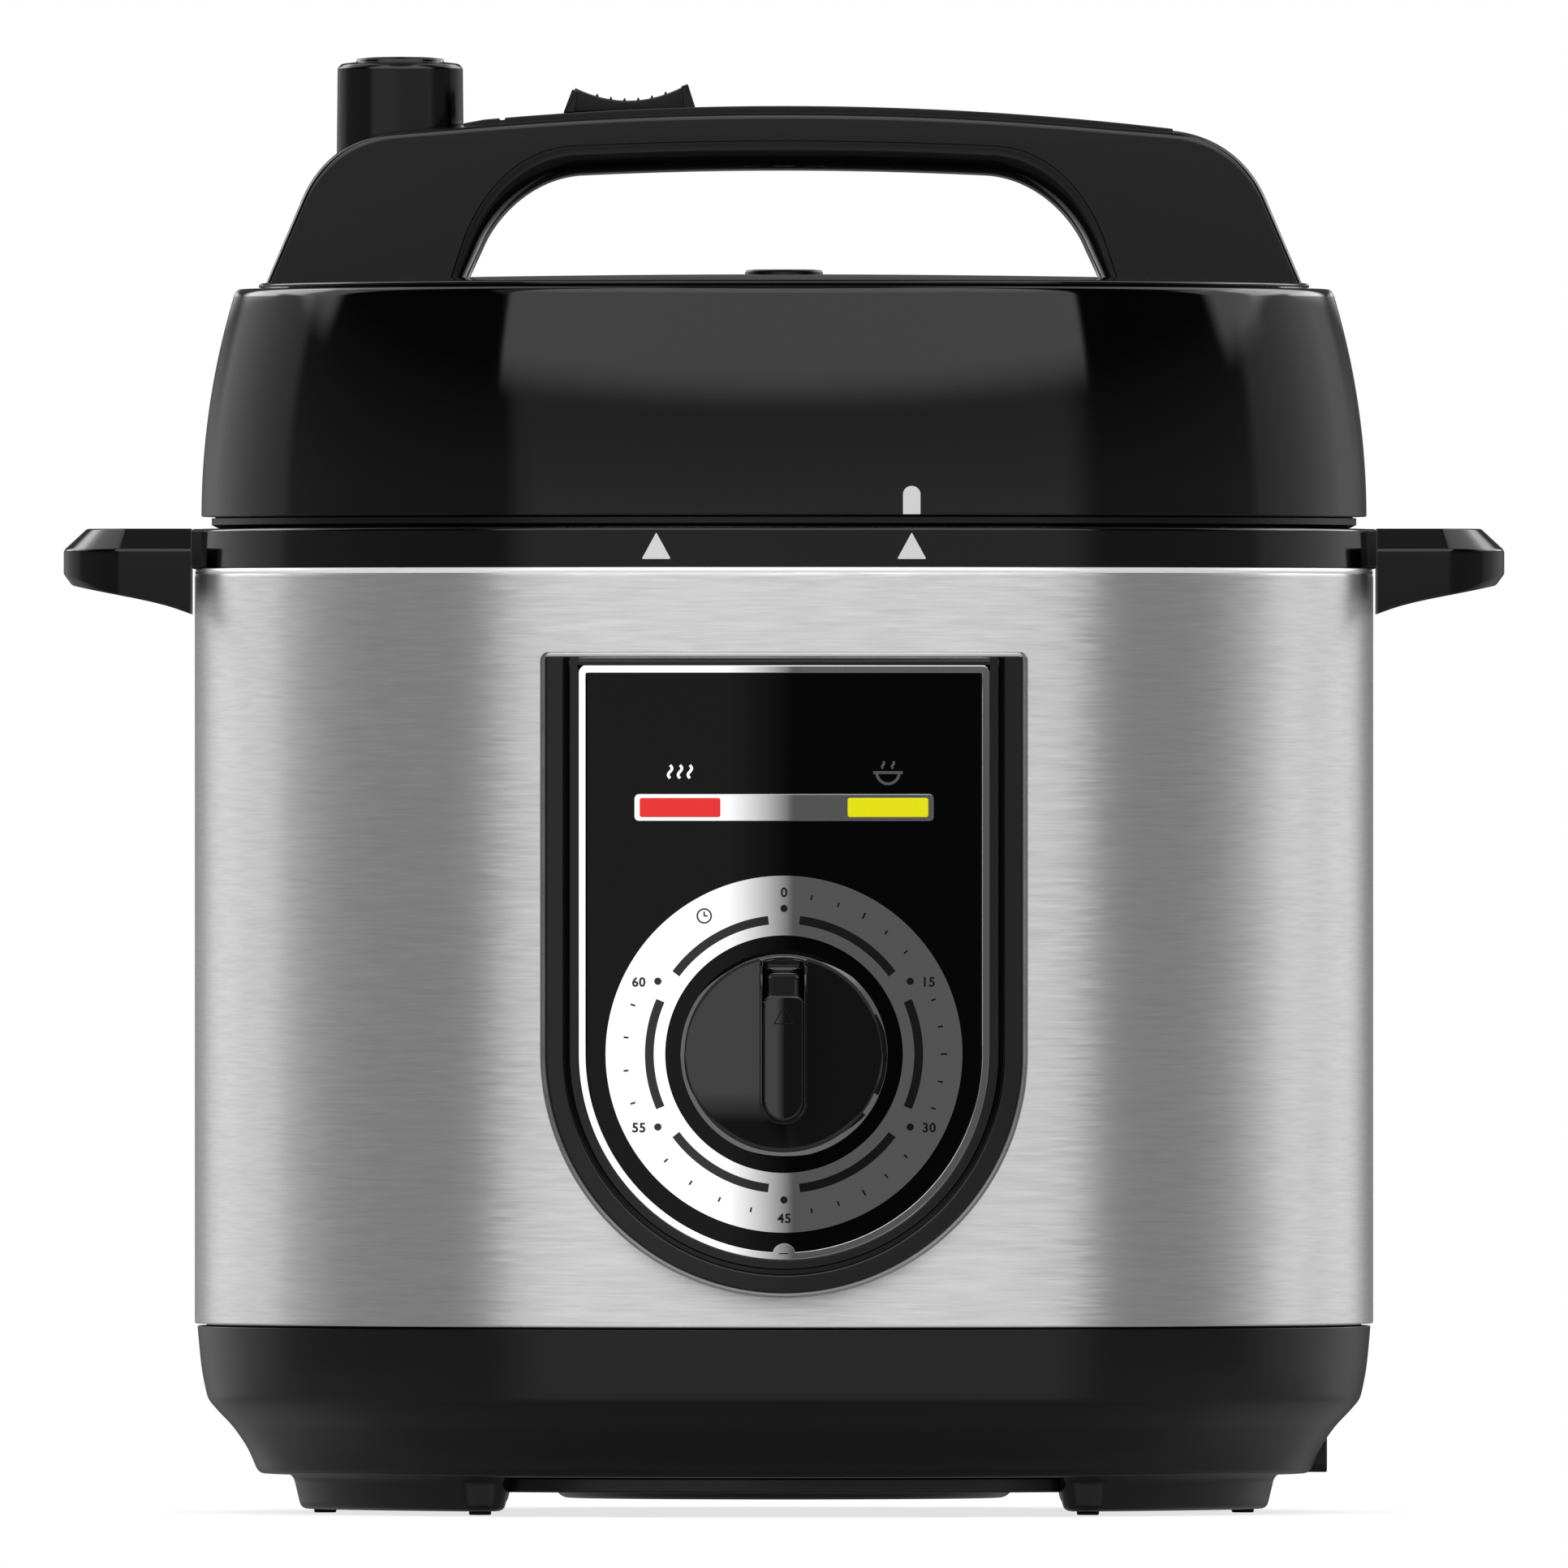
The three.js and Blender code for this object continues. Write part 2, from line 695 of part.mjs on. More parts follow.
// ---- Timer knob --------------------------------------------------------------------------------
/** A piece turned about the knob's axis; the outline is in (radius, distance in front). */
const turnedToFront = (outline, segments) =>
  turned(outline, segments).rotateX(Math.PI / 2).translate(0, 0, dialHeight);

function timerKnob() {
  const back = 136.4;
  const skirt = turnedToFront(
    [
      [0, back],
      [21, back],
      [knobRadius, back + 1.2],
      [knobRadius - 0.3, knobFace - 1.6],
      [knobRadius - 1.5, knobFace],
      [knobRadius - 2.2, knobFace - 0.8],
      [0, knobFace - 0.4],
    ],
    24,
  );
  const outline = [
    ...arc(0, dialHeight - 10.7, 5.2, Math.PI, 2 * Math.PI, 8),
    [5.2, dialHeight + knobRadius - 2.6],
    [-5.2, dialHeight + knobRadius - 2.6],
  ];
  const seen = slab(outline, -160, -145);
  const nose = new THREE.QuadraticBezierCurve(
    new THREE.Vector2(-157.2, dialHeight + 12.6),
    new THREE.Vector2(-150.2, dialHeight + 13.6),
    new THREE.Vector2(-149.2, dialHeight + knobRadius),
  );
  const side = sideways(
    [
      [-146, dialHeight - 20],
      [-155.2, dialHeight - 16.4],
      [-157.2, dialHeight - 13.8],
      ...nose.getPoints(4).map((p) => [p.x, p.y]),
      [-146, dialHeight + knobRadius],
    ],
    -8,
    8,
  );
  const socket = slab(disc(0, dialHeight, 3.3, 12), -147, -130);
  return cut(join(skirt, common(seen, side)), socket);
}

function timerShaft() {
  const bar = slab(disc(0, dialHeight, 3, 12), -146.6, -122.4);
  return cut(bar, block(-4, 4, -147, -138, dialHeight + 2, dialHeight + 4));
}

add("timer_knob", timerKnob(), glossBlack);
add("timer_shaft", timerShaft(), zincSteel);

// ---- Condensation cup and its bracket, behind --------------------------------------------------
const cupHalfWidth = 26;
const cupBack = 157;
const cupFront = 135.4;

function roundedBack(half, front, back, corner) {
  const corners = arc(half - corner, back - corner, corner, 0, Math.PI / 2, 3);
  return [[half, front], ...corners, ...mirrored(corners), [-half, front]];
}

function condensationCup() {
  const cup = plate(roundedBack(cupHalfWidth, cupFront, cupBack, 6), 158, 201);
  const lips = block(-29, 29, cupFront, cupBack - 8, 199.4, 201);
  const inside = plate(roundedBack(cupHalfWidth - 1.6, cupFront + 1.6, cupBack - 1.6, 4.6), 159.6, 203);
  return cut(join(cup, lips), inside);
}

function cupBracket() {
  const top = block(-33, 33, 133.2, 153, 203.2, 205.6);
  const back = block(-33, 33, 133.2, 135, 190, 205.6);
  const rails = [-1, 1].map((side) => {
    const rail = [[29.6, 205], [29.6, 199], [26.8, 199], [26.8, 196.8], [33, 196.8], [33, 205]];
    return slab(side > 0 ? rail : mirrored(rail), 133.5, 153);
  });
  const hanger = block(-20, 20, 133.2, 136.2, 205, 212.7);
  return cut(join(top, back, ...rails, hanger), post(0, 143, 4, 202, 207));
}

add("condensation_cup", condensationCup(), smokedPlastic);
add("cup_bracket", cupBracket(), satinBlack);

// ---- Lid: gasket, pressed metal lid and its locking lugs ---------------------------------------
add(
  "sealing_ring",
  turned(
    [[99.5, 223.2], [105.5, 222.4], [107, potRim + 0.4], [109.7, potRim + 0.4], [109.7, 226], [99.5, 226]],
    ROUND_INSIDE,
  ),
  silicone,
);
add(
  "seal_rack",
  turned([[97, 220.8], [103.5, 220.8], [103.5, 221.9], [98.2, 222.3], [97, 225.8]], ROUND_INSIDE),
  pressedSteel,
);

const lidScrewPlaces = repeat(4, (i) => {
  const a = Math.PI / 4 + (i * Math.PI) / 2;
  return [72 * Math.cos(a), 72 * Math.sin(a)];
});

function innerLid() {
  const thick = 1.2;
  const dish = turned(
    [
      [0, plateTop - thick],
      [97.4, plateTop - thick],
      [98.6, 226.4],
      [111.2, 226.4],
      [111.2, 219.4],
      [112.2, 219.4],
      [112.2, 227.5],
      [99.8, 227.5],
      [98.4, plateTop],
      [0, plateTop],
    ],
    ROUND_INSIDE,
  );
  const bottom = channelTop - 2 * lugThickness - 0.5;
  const lugs = repeat(lugCount, (i) => lug(111.6, lidLugRadius, bottom, (i + 0.5) * lugPitch));
  return cut(
    join(dish, ...lugs),
    post(valveX, 0, 5.2, 230, 245),
    post(0, floatY, 3.2, 230, 245),
    ...lidScrewPlaces.map(([x, y]) => post(x, y, 2.2, 230, 245, 8)),
  );
}

add("inner_lid", innerLid(), pressedSteel);
lidScrewPlaces.forEach((place, i) =>
  add("lid_screw_" + (i + 1), screwUp(place, 4.2, plateTop - 1.2 - GAP, 9), zincSteel),
);

// ---- Lid: plastic liner, side shell and round cover --------------------------------------------
/** Inner moulding that joins the metal lid to the shell; its lower edge shows under the shell. */
function lidLiner() {
  const web = plateTop + 0.4;
  const moulding = turned(
    [
      [126.2, 221.6],
      [128.7, 221.6],
      [128.7, lidBottom - GAP],
      [127.9, lidBottom - GAP],
      [126.4, web + 2.4],
      [20, web + 2.4],
      [20, web],
      [123.8, web],
    ],
    ROUND,
  );
  const bosses = lidScrewPlaces.map(([x, y]) => post(x, y, 5, web + 1, web + 10, 10));
  return cut(
    join(moulding, ...bosses),
    post(valveX, 0, 6, 235, 245),
    post(0, floatY, 3.4, 235, 245),
    ...lidScrewPlaces.map(([x, y]) => post(x, y, 2.1, 230, 248, 8)),
  );
}

/** Points up the side of the lid: an arc that leaves the lower edge upright and leans inwards. */
function lidSide(inset, bottom, top, steps) {
  const radius = lidBulge - inset;
  const centre = lidRadius - lidBulge;
  const rise = (z) => Math.asin((z - lidBottom) / radius);
  return arc(centre, lidBottom, radius, rise(bottom), rise(top), steps);
}

function lidShell() {
  return turned(
    [
      ...lidSide(0, lidBottom, lidShoulder - 1.3, 3),
      [122.2, lidShoulder],
      [112, lidShoulder],
      [112, lidShoulder - 2.6],
      ...lidSide(lidWall, lidBottom, lidShoulder - 3.4, 2).reverse(),
    ],
    ROUND,
  );
}

// The cover's top is a very shallow dome, so the handle's legs are cut to follow it.
const domeOutline = [[118.1, 275.5], [117.2, 276.1], [70, 277.5], [0, 278.1]];

function lidTopCover() {
  const cover = turned(
    [
      [0, 275.6],
      [109.4, 273.6],
      [109.4, 272],
      [111.7, 272],
      [111.7, 275.1],
      [capRadius, 275.1],
      ...domeOutline,
    ],
    ROUND,
  );
  return cut(cover, post(valveX, 0, 9, 270, 280, 16), post(0, floatY, 5, 270, 280));
}

add("lid_liner", lidLiner(), satinBlack);
add("lid_shell", lidShell(), glossBlack);
add("lid_top_cover", lidTopCover(), glossBlack);
add(
  "float_guard",
  turned([[5.8, 278.3], [8.8, 278.3], [8.3, 279.5], [6.4, 279.5]]).translate(0, floatY, 0),
  satinBlack,
);

// ---- Lid handle --------------------------------------------------------------------------------
/** Half an arch from its foot to its crown, as seen from the front: leg, bent shoulder, flat top. */
function halfArch({ foot, knee, bends, shoulder, crown }, shoulderSteps = 6, topSteps = 4) {
  const bend = new THREE.CubicBezierCurve(
    ...[knee, ...bends, shoulder].map(([x, z]) => new THREE.Vector2(x, z)),
  );
  const sag = crown - shoulder[1];
  const top = Array.from({ length: topSteps }, (_, i) => {
    const x = shoulder[0] * (1 - (i + 1) / topSteps);
    return [x, crown - sag * (x / shoulder[0]) ** 2];
  });
  return [foot, ...bend.getPoints(shoulderSteps).map((p) => [p.x, p.y]), ...top];
}

/** A whole arch, from the right foot over to the left one. */
function arch(shape) {
  const half = halfArch(shape);
  return [...half, ...mirrored(half.slice(0, -1))];
}

const outerArch = {
  foot: [116.9, 275],
  knee: [108.4, 295],
  bends: [[105.5, 302], [99, 309]],
  shoulder: [88, 310.4],
  crown: 315.2,
};
const hollowArch = {
  foot: [114.6, 275],
  knee: [106.3, 294.2],
  bends: [[103.4, 301], [97.6, 307]],
  shoulder: [88, 308.4],
  crown: 315.2 - handleWall,
};
const seamArch = {
  foot: [75.6, 275],
  knee: [72.6, 284],
  bends: [[69, 295.5], [60, 307]],
  shoulder: [46, 306.9],
  crown: 308,
};
const gripArch = {
  foot: [71.6, 275],
  knee: [67.6, 284],
  bends: [[64.5, 291.5], [56, 300]],
  shoulder: [45, 300.4],
  crown: 301.5,
};

const domeTool = turned([[0, 270], [125, 270], ...domeOutline].map(([r, z], i) => [r, i > 1 ? z + GAP : z]), ROUND);
const slotHalfWidth = 5.4;
const slotEnds = [-47.8, -32.4];

function handleShell() {
  const outline = [...arch(outerArch), ...arch(seamArch).reverse()];
  const bar = new THREE.ExtrudeGeometry(new THREE.Shape(vectors(outline)), {
    depth: 2 * handleHalfDepth - 2,
    bevelThickness: 1,
    bevelSize: 0.8,
    bevelOffset: -0.8,
    bevelSegments: 1,
  });
  const body = closed(bar.rotateX(Math.PI / 2).translate(0, handleHalfDepth - 1, 0));
  const hollowDepth = handleHalfDepth - 2.2;
  const hollow = slab([...arch(hollowArch), ...arch(gripArch).reverse()], -hollowDepth, hollowDepth);
  return cut(
    body,
    hollow,
    domeTool,
    post(valveX, 0, valveRadius + 0.9, 296, 320, 20),
    block(...slotEnds, -slotHalfWidth, slotHalfWidth, 308, 318),
  );
}

/** Rounded underside of the grip: a D-shaped section carried along the arch between seam and gap. */
function handleGrip() {
  const depth = handleHalfDepth;
  const section = [[0, -1], [0.5, -0.93], [0.85, -0.68], [1, -0.3], [1, 0.3], [0.85, 0.68], [0.5, 0.93], [0, 1]];
  const [seam, gap] = [arch(seamArch), arch(gripArch)];
  const rings = seam.map(() => section);
  const bar = loft(rings, ([u, v], k) => {
    const along = 0.05 + 0.95 * u;
    const [x, z] = [0, 1].map((i) => seam[k][i] + (gap[k][i] - seam[k][i]) * along);
    return [x, v * depth, z];
  });
  return cut(bar, domeTool);
}

/** Inlaid strip on top of the handle, with a slot for the slider's stem. */
function handleTopPlate() {
  const [from, to] = [-62.6, 87.4];
  const crown = (x, lift) => [x, outerArch.crown + lift - 5.2 * (x / 88) ** 2];
  const xs = Array.from({ length: 9 }, (_, i) => from + ((to - from) * i) / 8);
  const lower = xs.map((x) => crown(x, 0.35 + 0.4 * (x / 88) ** 2));
  const outline = [...lower, ...xs.reverse().map((x) => crown(x, 1))];
  return cut(slab(outline, -14, 14), block(...slotEnds, -slotHalfWidth, slotHalfWidth, 300, 320));
}

add("handle_shell", handleShell(), satinBlack);
add("handle_grip", handleGrip(), satinBlack);
add("handle_top_plate", handleTopPlate(), satinBlack);

// ---- Steam release: pipe, strainer, weighted valve and the slider that lifts it ----------------
function exhaustPipe() {
  const pipe = turned([
    [1.6, 230],
    [7.6, 231.5],
    [7.6, plateTop - 1.5],
    [4.7, plateTop - 1.5],
    [4.7, 262],
    [3.1, 264],
    [3.1, 297],
    [1.6, 299.4],
  ]);
  return pipe.translate(valveX, 0, 0);
}

/** Cage under the lid that keeps food out of the pipe. */
function strainer() {
  const cage = turned([
    [0, 223],
    [9.6, 223.6],
    [9.6, plateTop - 1.5],
    [8.3, plateTop - 1.5],
    [8.3, 224.8],
    [0, 224.2],
  ]);
  const slots = repeat(3, (i) => block(-11, 11, -1.5, 1.5, 226, 233).rotateZ((i * Math.PI) / 3));
  return cut(cage, ...slots).translate(valveX, 0, 0);
}

function steamValve() {
  const valve = turned(
    [
      [0, 327.1],
      [9.6, 326.7],
      [9.9, 325.9],
      [13.3, 325.4],
      [14.2, 324.4],
      [valveRadius, skirtBottom],
      [11.4, skirtBottom],
      [11.4, 319],
      [6.5, 319],
      [6.5, 287],
      [3.7, 287],
      [3.7, 299],
      [0, 301],
    ],
    20,
  );
  return valve.translate(valveX, 0, 0);
}

/** Thumb saddle on the handle, with a forked ramp inside that runs under the valve's skirt. */
function ventSlider() {
  const dip = new THREE.QuadraticBezierCurve(
    new THREE.Vector2(-22.8, 320.9),
    new THREE.Vector2(-35, 314.4),
    new THREE.Vector2(-46.6, 319.7),
  );
  const saddle = slab(
    [[-49.6, 314.8], [-34, 315.8], [-19.6, 316.4], [-21.8, 320.9], ...dip.getPoints(6).map((p) => [p.x, p.y]), [-47.6, 319.6]],
    -9.5,
    9.5,
  );
  const ribs = repeat(6, (i) => {
    const t = (i + 1.2) / 7.4; // spaced along the dip, clear of its two ends
    const p = dip.getPoint(t);
    return block(p.x - 0.35, p.x + 0.35, -8, 8, p.y - 0.6, p.y + 0.45);
  });
  const stem = block(-41, -33, -4.8, 4.8, 309, 316);
  const armTop = 310;
  const armBottom = 308.4;
  const rampStart = -60;
  const rampEnd = -79;
  const drop = (rampStart - rampEnd) * rampSlope;
  const arm = slab(
    [
      [-33, armBottom],
      [-33, armTop],
      [rampStart, armTop],
      [rampEnd, armTop - drop],
      [rampEnd, armTop - drop - 1.6],
      [rampStart, armBottom],
    ],
    -12,
    12,
  );
  const betweenProngs = block(rampEnd - 1, -62, -8, 8, 295, 312);
  return join(saddle, ...ribs, stem, cut(arm, betweenProngs));
}

add("exhaust_pipe", exhaustPipe(), zincSteel);
add("strainer", strainer(), pressedSteel);
add("steam_valve", steamValve(), glossBlack);
add("vent_slider", ventSlider(), satinBlack);

// ---- Float pin, which rises under pressure and shows above the lid -----------------------------
add(
  "float_pin",
  turned(
    [[0, 229.4], [5.6, 229.4], [5.6, 231.2], [2.4, 231.2], [2.4, 277.4], [1.6, 278], [0, 278]],
    14,
  ).translate(0, floatY, 0),
  zincSteel,
);
add(
  "float_seal",
  turned([[2.7, 231.5], [5.6, 231.5], [5.2, 233.2], [2.7, 233.2]], 14).translate(0, floatY, 0),
  silicone,
);

export default cooker;
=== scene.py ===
import math

import bmesh
import bpy
import numpy as np
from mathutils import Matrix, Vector


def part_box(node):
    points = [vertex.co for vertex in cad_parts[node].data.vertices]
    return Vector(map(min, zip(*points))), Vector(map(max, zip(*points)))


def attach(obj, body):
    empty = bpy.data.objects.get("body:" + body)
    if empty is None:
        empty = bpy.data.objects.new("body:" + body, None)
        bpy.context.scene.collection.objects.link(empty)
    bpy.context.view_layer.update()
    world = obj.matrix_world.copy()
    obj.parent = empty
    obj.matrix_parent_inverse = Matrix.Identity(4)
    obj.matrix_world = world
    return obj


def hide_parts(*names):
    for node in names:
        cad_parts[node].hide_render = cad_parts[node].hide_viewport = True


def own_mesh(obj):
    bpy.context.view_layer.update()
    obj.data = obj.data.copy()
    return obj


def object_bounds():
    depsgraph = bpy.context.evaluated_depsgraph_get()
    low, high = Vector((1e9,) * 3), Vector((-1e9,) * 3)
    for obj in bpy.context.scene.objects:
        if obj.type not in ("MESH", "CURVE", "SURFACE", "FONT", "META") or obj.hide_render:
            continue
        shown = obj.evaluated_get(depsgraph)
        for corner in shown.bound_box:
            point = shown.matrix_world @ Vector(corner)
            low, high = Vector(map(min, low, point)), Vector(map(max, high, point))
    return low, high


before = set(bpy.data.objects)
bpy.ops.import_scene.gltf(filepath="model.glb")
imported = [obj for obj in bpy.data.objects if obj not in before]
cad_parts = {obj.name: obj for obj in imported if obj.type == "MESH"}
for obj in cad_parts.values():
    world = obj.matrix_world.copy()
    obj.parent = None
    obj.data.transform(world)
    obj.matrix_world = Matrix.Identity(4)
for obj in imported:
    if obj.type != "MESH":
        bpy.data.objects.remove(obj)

cad_low, cad_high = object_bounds()
MM = 0.001
scene = bpy.context.scene

# ---- Camera ------------------------------------------------------------------------------------
# Level with the middle of the cooker and square to its dial, far away with a very long lens, so
# that the sides run almost parallel.
view_width = 0.3526
camera = bpy.data.objects.new("camera", bpy.data.cameras.new("camera"))
scene.collection.objects.link(camera)
scene.camera = camera
camera.data.sensor_width = 36
camera.data.lens = 1650
camera.data.clip_end = 100
middle = (cad_low + cad_high) / 2
camera.location = (0, -view_width * camera.data.lens / camera.data.sensor_width, middle.z)
camera.rotation_euler = (math.pi / 2, 0, 0)


# ---- Studio ------------------------------------------------------------------------------------
# A white room with large soft panels: one high in front, one high at each side behind, and at eye
# level a thin light strip that fades out beside a dark one, which upright faces in front reflect.
# Everything but gloss sees plain soft white.
def wired(tree):
    """Returns two short ways to add a node: by type with its inputs, and arithmetic by name."""

    def put(kind, *inputs, **settings):
        """A new node: sockets are linked to its inputs in turn, and other values are set on them."""
        node = tree.nodes.new(kind)
        for key, value in settings.items():
            setattr(node, key, value)
        for slot_number, value in enumerate(inputs):
            if isinstance(value, bpy.types.NodeSocket):
                tree.links.new(value, node.inputs[slot_number])
            elif value is not None:
                node.inputs[slot_number].default_value = value
        return node

    def maths(operation, *inputs):
        """The result of one arithmetic node."""
        return put("ShaderNodeMath", *inputs, operation=operation).outputs[0]

    return put, maths


def studio():
    """The light from a direction, by its azimuth from the front and its elevation, in degrees. Each
    panel is a product of smooth steps, and it is laid over what lies behind it."""
    world = bpy.data.worlds.new("studio")
    scene.world = world
    world.use_nodes = True
    world.cycles.sampling_method = "NONE"
    tree = world.node_tree
    tree.nodes.clear()
    put, maths = wired(tree)
    toward = put("ShaderNodeSeparateXYZ", put("ShaderNodeTexCoord").outputs["Generated"])
    x, y, z = toward.outputs
    degrees = 180 / math.pi
    azimuth = maths("MULTIPLY", maths("ARCTAN2", x, maths("MULTIPLY", y, -1.0)), degrees)
    elevation = maths("MULTIPLY", maths("ARCSINE", z), degrees)

    def step(value, at, soft):
        """0 below a value and 1 above it, with a smooth step between."""
        return put(
            "ShaderNodeMapRange", value, at - soft, at + soft, 0.0, 1.0, interpolation_type="SMOOTHSTEP"
        ).outputs[0]

    def slope(value, a, b, level_a, level_b):
        """A straight line from one level at a to another at b, held level beyond them."""
        return put("ShaderNodeMapRange", value, a, b, level_a, level_b).outputs[0]

    def laid(under, level, across, upward, soft_across=3.0, soft_upward=3.0, value=azimuth, climb=elevation):
        """level over under, between two azimuths and two elevations."""
        mask = maths("SUBTRACT", step(value, across[0], soft_across), step(value, across[1], soft_across))
        rise = maths(
            "SUBTRACT", step(climb, upward[0], soft_upward), step(climb, upward[1], soft_upward)
        )
        mask = maths("MULTIPLY", mask, rise)
        return maths("ADD", under, maths("MULTIPLY", mask, maths("SUBTRACT", level, under)))

    height = maths("MULTIPLY", elevation, elevation)
    front = maths("ABSOLUTE", maths("SUBTRACT", azimuth, 2.3))
    front = maths("SUBTRACT", front, maths("MULTIPLY", height, 0.006))
    rear = maths("ABSOLUTE", maths("ADD", azimuth, 4.5))
    rear = maths("SUBTRACT", rear, maths("MULTIPLY", height, 0.013))
    low_front = slope(elevation, 1.0, 16.0, 0.49, 0.32)
    low_gap = slope(elevation, 3.0, 21.0, 0.15, 0.0)
    behind = maths("MINIMUM", slope(rear, 112.0, 138.0, 0.28, 0.39), slope(rear, 150.0, 172.0, 0.39, 0.09))
    light = laid(behind, low_gap, (50, 112), (-40, 100), 2.5, 8, value=rear)
    narrowed = maths("SUBTRACT", front, maths("MULTIPLY", maths("SIGN", azimuth), 1.7))
    light = laid(light, low_front, (-60, 57.3), (-40, 100), 5, 8, value=narrowed)
    light = laid(light, 0.0, (50, 103), (22, 66), 2, 3, value=rear)
    sides = maths("ABSOLUTE", azimuth)
    climb = maths("ADD", elevation, maths("MULTIPLY", sides, 0.3))
    wedge = slope(elevation, 17.0, 26.0, 2.8, 0.4)
    light = laid(light, wedge, (138, 174), (54.8, 100), 3, 1.2, value=sides, climb=climb)
    low_side = slope(rear, 136.0, 152.0, 2.8, 2.0)
    light = laid(light, low_side, (113.5, 168), (17, 35), 2.5, 2, value=rear)
    light = laid(light, 1.3, (-60, 61.5), (18.5, 62), 0.8, 3.6, value=front)
    light = laid(light, 1.9, (-60, 58), (40, 78), 4, 3, value=front)
    light = laid(light, 0.85, (105, 121), (15.5, 36), 2.5, 2.5)
    light = laid(light, 0.85, (-127, -112), (16.5, 36), 2.5, 2.5)
    light = laid(light, 1.9, (107, 152), (35, 76), 3, 3, value=rear)
    light = laid(light, 1.0, (117, 150), (38, 74), 2, 3, value=sides)
    light = laid(light, 0.08, (158, 200), (4, 80), 4, 3, value=sides)
    light = laid(light, 0.2, (-200, 200), (78, 100), 1, 3)
    light = laid(light, 0.16, (-200, 200), (-100, -34), 1, 12)
    light = laid(light, 0.22, (70, 200), (-40, -10), 8, 5, value=sides)
    fade = slope(azimuth, -11.0, 1.0, 1.1, 0.16)
    fade = maths("MULTIPLY", fade, slope(elevation, -2.4, -0.39, 0.1, 1.0))
    light = laid(light, fade, (-50, 3.0), (-2.6, 0.133), 0.5, 0.035)
    light = laid(light, 0.09, (1.3, 50), (-2.6, 0.133), 0.7, 0.035)
    rays = put("ShaderNodeLightPath").outputs
    seen = maths("MAXIMUM", rays["Is Camera Ray"], rays["Is Transmission Ray"])
    plain = maths("ADD", maths("MULTIPLY", seen, 0.28), 0.72)
    gloss = rays["Is Glossy Ray"]
    mixed = put("ShaderNodeMix", gloss, data_type="FLOAT")
    tree.links.new(plain, mixed.inputs[2])
    tree.links.new(light, mixed.inputs[3])
    background = put("ShaderNodeBackground", mixed.outputs[0], 1.0)
    put("ShaderNodeOutputWorld", background.outputs[0])


studio()


lamp_aim = Vector((0, 0, 0.15))


def lamp(name, place, size, power):
    """A square soft lamp, turned to the cooker, that gloss doesn't show."""
    light = bpy.data.lights.new(name, "AREA")
    light.size = size
    light.energy = power
    body = bpy.data.objects.new(name, light)
    scene.collection.objects.link(body)
    body.location = place
    away = body.location - lamp_aim
    body.rotation_euler = away.to_track_quat("Z", "Y").to_euler()
    body.visible_glossy = False


lamp("front_lamp", (-0.9, -1.9, 1.9), 1.6, 14)
lamp("top_lamp", (0.5, 0.4, 2.4), 1.8, 9)


# ---- Base moulding -----------------------------------------------------------------------------
# One hollow black moulding: a short tapered wall, a concave waist and an inward flange that takes
# the bottom cover. Its right side at the back has a window for the power inlet.
def softened(outline, radii, steps=4, closed=True):
    """Rounds corners. Each corner P is set back along its two edges by its radius, at most 0.45 of
    the edge, to A and B, and becomes (1-t)^2 A + 2t(1-t) P + t^2 B."""
    p = np.asarray(outline, float)
    before, after = np.roll(p, 1, 0) - p, np.roll(p, -1, 0) - p
    long_before = np.linalg.norm(before, axis=1, keepdims=True) + 1e-12
    long_after = np.linalg.norm(after, axis=1, keepdims=True) + 1e-12
    r = np.array(np.broadcast_to(radii, len(p)), float)[:, None]
    if not closed:
        r[[0, -1]] = 0
    a = p + before / long_before * np.minimum(r, 0.45 * long_before)
    b = p + after / long_after * np.minimum(r, 0.45 * long_after)
    t = np.linspace(0, 1, steps + 1)[None, :, None]
    q = (1 - t) ** 2 * a[:, None] + 2 * t * (1 - t) * p[:, None] + t**2 * b[:, None]
    q = q.reshape(-1, p.shape[1])
    keep = np.linalg.norm(q - np.roll(q, 1, 0), axis=1) > 1e-7
    keep[0] = True
    return q[keep]


def turned(outline, turns=192, at=(0, 0)):
    """A body turned about Z: at angle a the outline's (r, z) goes to (r cos a, r sin a, z). An
    outline that ends on the axis makes a closed body, one that stays off it makes a ring."""
    p = np.asarray(outline, float)
    a = np.linspace(0, 2 * math.pi, turns, endpoint=False)
    x = at[0] + np.outer(p[:, 0], np.cos(a))
    y = at[1] + np.outer(p[:, 0], np.sin(a))
    z = np.broadcast_to(p[:, 1:], x.shape)
    return np.stack([x, y, z], -1), bool(p[0, 0] > 1e-9), True


